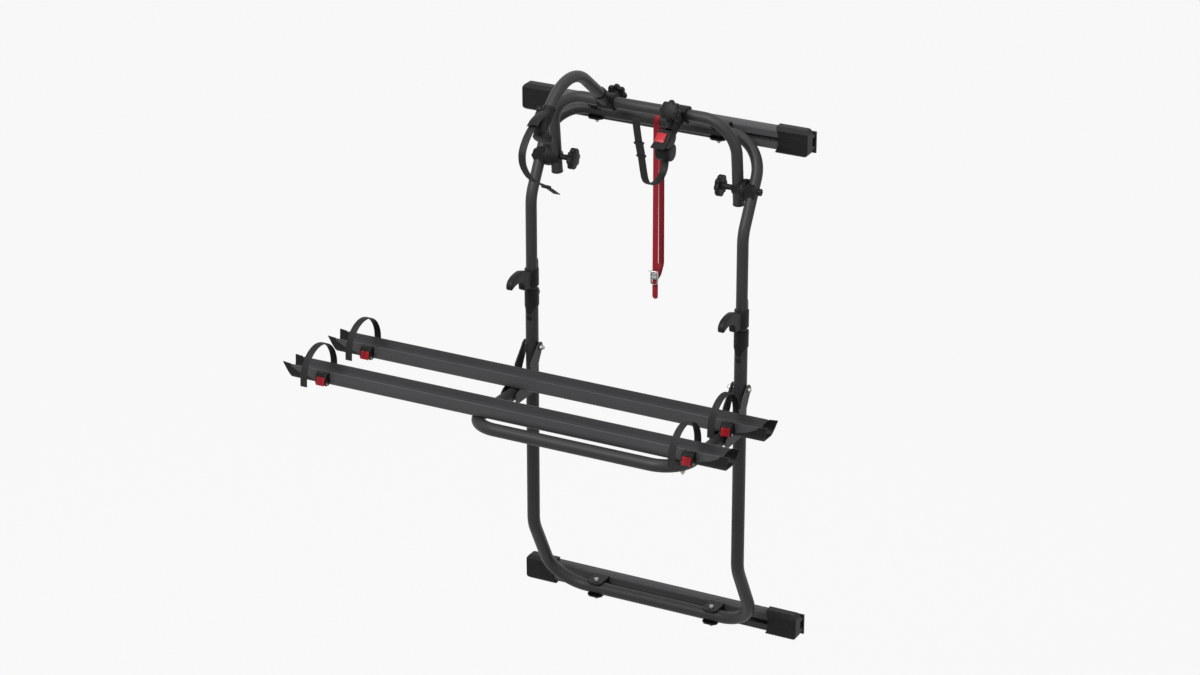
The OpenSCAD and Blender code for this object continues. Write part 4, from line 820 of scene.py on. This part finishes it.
# %% Frame straps
FRAME_W, FRAME_T, FRAME_TOOTH = 0.020, 0.003, 0.0005  # width, thickness, depth of the teeth


def fine_teeth(s):
    """Teeth on the outer face from one end to the other."""
    return (s / TOOTH) % 1.0 * FRAME_TOOTH


def curl(x, table, step):
    """A smooth line in the plane x through a table of reach and height in millimetres."""
    p = np.asarray(table, float) * mm
    return through(np.stack([np.full(len(p), x), -p[:, 0], p[:, 1]], axis=1), step)


def slider(line, near, length, grow):
    """A small sleeve round a strap, where it passes nearest to a reach and height in millimetres."""
    s = along_line(line)
    at = s[np.argmin(np.linalg.norm(line[:, 1:] - np.array([-near[0], near[1]]) * mm, axis=1))]
    span = at + np.array([-0.5, -0.46, -0.3, 0.3, 0.46, 0.5]) * length
    way = np.stack([np.interp(span, s, line[:, k]) for k in range(3)], axis=1)
    flat = band(way, (1, 0, 0), FRAME_W + 2 * grow, FRAME_T + 2 * grow, edge=0.2, around=16)
    middle = flat.mean(axis=1, keepdims=True)
    shrink = np.array([0.93, 1, 1, 1, 1, 0.93])[:, None, None]
    return shell(middle + (flat - middle) * shrink)


line = curl(LONG_X, [(520, 815), (537, 812.5), (554, 807), (571.5, 798), (589.5, 785), (604.5, 769),
                     (611.5, 755.5), (613, 743), (611, 729), (604, 714), (590, 695), (573, 678), (549, 660.5),
                     (519, 644), (492, 628), (464, 609.5), (438, 591)], TOOTH / 3)
parts = [shell(band(line, (1, 0, 0), FRAME_W, FRAME_T, tooth=fine_teeth)),
         slider(line, (492, 628), 0.006, 0.0026)]
piece("long_curled_strap", parts, rubbery, "long_bike_holder", ("long_frame_strap",))
line = curl(SHORT_X, [(249.5, 668), (249, 652), (251.5, 637), (258.5, 625), (270.5, 616), (288, 610.5),
                      (309.5, 610), (331, 615.5), (350, 627), (360.5, 641.5), (366, 656), (370.5, 671),
                      (377, 694), (385, 722), (396, 752), (404, 780), (411.5, 812)], TOOTH / 3)
parts = [shell(band(line, (-1, 0, 0), FRAME_W, FRAME_T, tooth=fine_teeth)),
         slider(line, (386, 725), 0.034, 0.0009),
         slider(line, (392.5, 743), 0.003, 0.0034),
         slider(line, (380, 706), 0.003, 0.003)]
piece("short_curled_strap", parts, rubbery, "short_bike_holder", ("short_frame_strap",))
print("short strap is", round(float(along_line(line)[-1]), 3), "m long")

# %% [markdown]
# ## The short arm's holder
# The short arm carries a rounded housing with a red lever set into its sloping top. Seen from the
# side the housing is two outlines that meet in a step, so it is two slabs with rounded edges.

# %% Short holder and its red lever
upper = drawn([(226, 702), (226, 716), (237, 727), (249, 728), (258, 722.5), (275, 707), (295, 698),
               (293, 694), (274, 692), (262, 689), (240, 688)])
lower = drawn([(233, 693), (225, 684), (225, 667), (231, 655), (243, 650), (258, 652), (267, 660), (271, 671),
               (271, 682), (266.5, 689), (252, 693)], 2)
NECK_FROM, LEVER_ASIDE = 0.047, 0.0035  # the neck's start from the bar, the lever's shift to the left
socket_way = unit((0, -1, -0.48))
start = np.array([SHORT_X, -BAR_MID[0], BAR_MID[1]]) + socket_way * NECK_FROM
neck = [(0.0147, 0), (0.0170, 0), (0.0175, 0.0006), (0.0175, 0.006), (0.0168, 0.0068), (0.0168, 0.024),
        (0.0147, 0.024)]
parts = [slab(upper, 0.0196, 0.0035, side(SHORT_X), steps=5),
         slab(lower, 0.0203, 0.005, side(SHORT_X), steps=6),
         ring(neck, start, socket_way)]
piece("short_arm_holder", parts, moulded, "short_bike_holder", ("short_holder",))
lever = drawn([(254, 722), (257, 725.2), (262, 723.5), (270, 717), (278, 709), (276.5, 705), (268, 711),
               (258, 719)])
piece("short_arm_lever", [slab(lever, 0.0125, 0.0012, side(SHORT_X - LEVER_ASIDE))], red_plastic,
      "short_latch", ("short_holder_lever",))
print("short holder outlines", len(upper), len(lower))
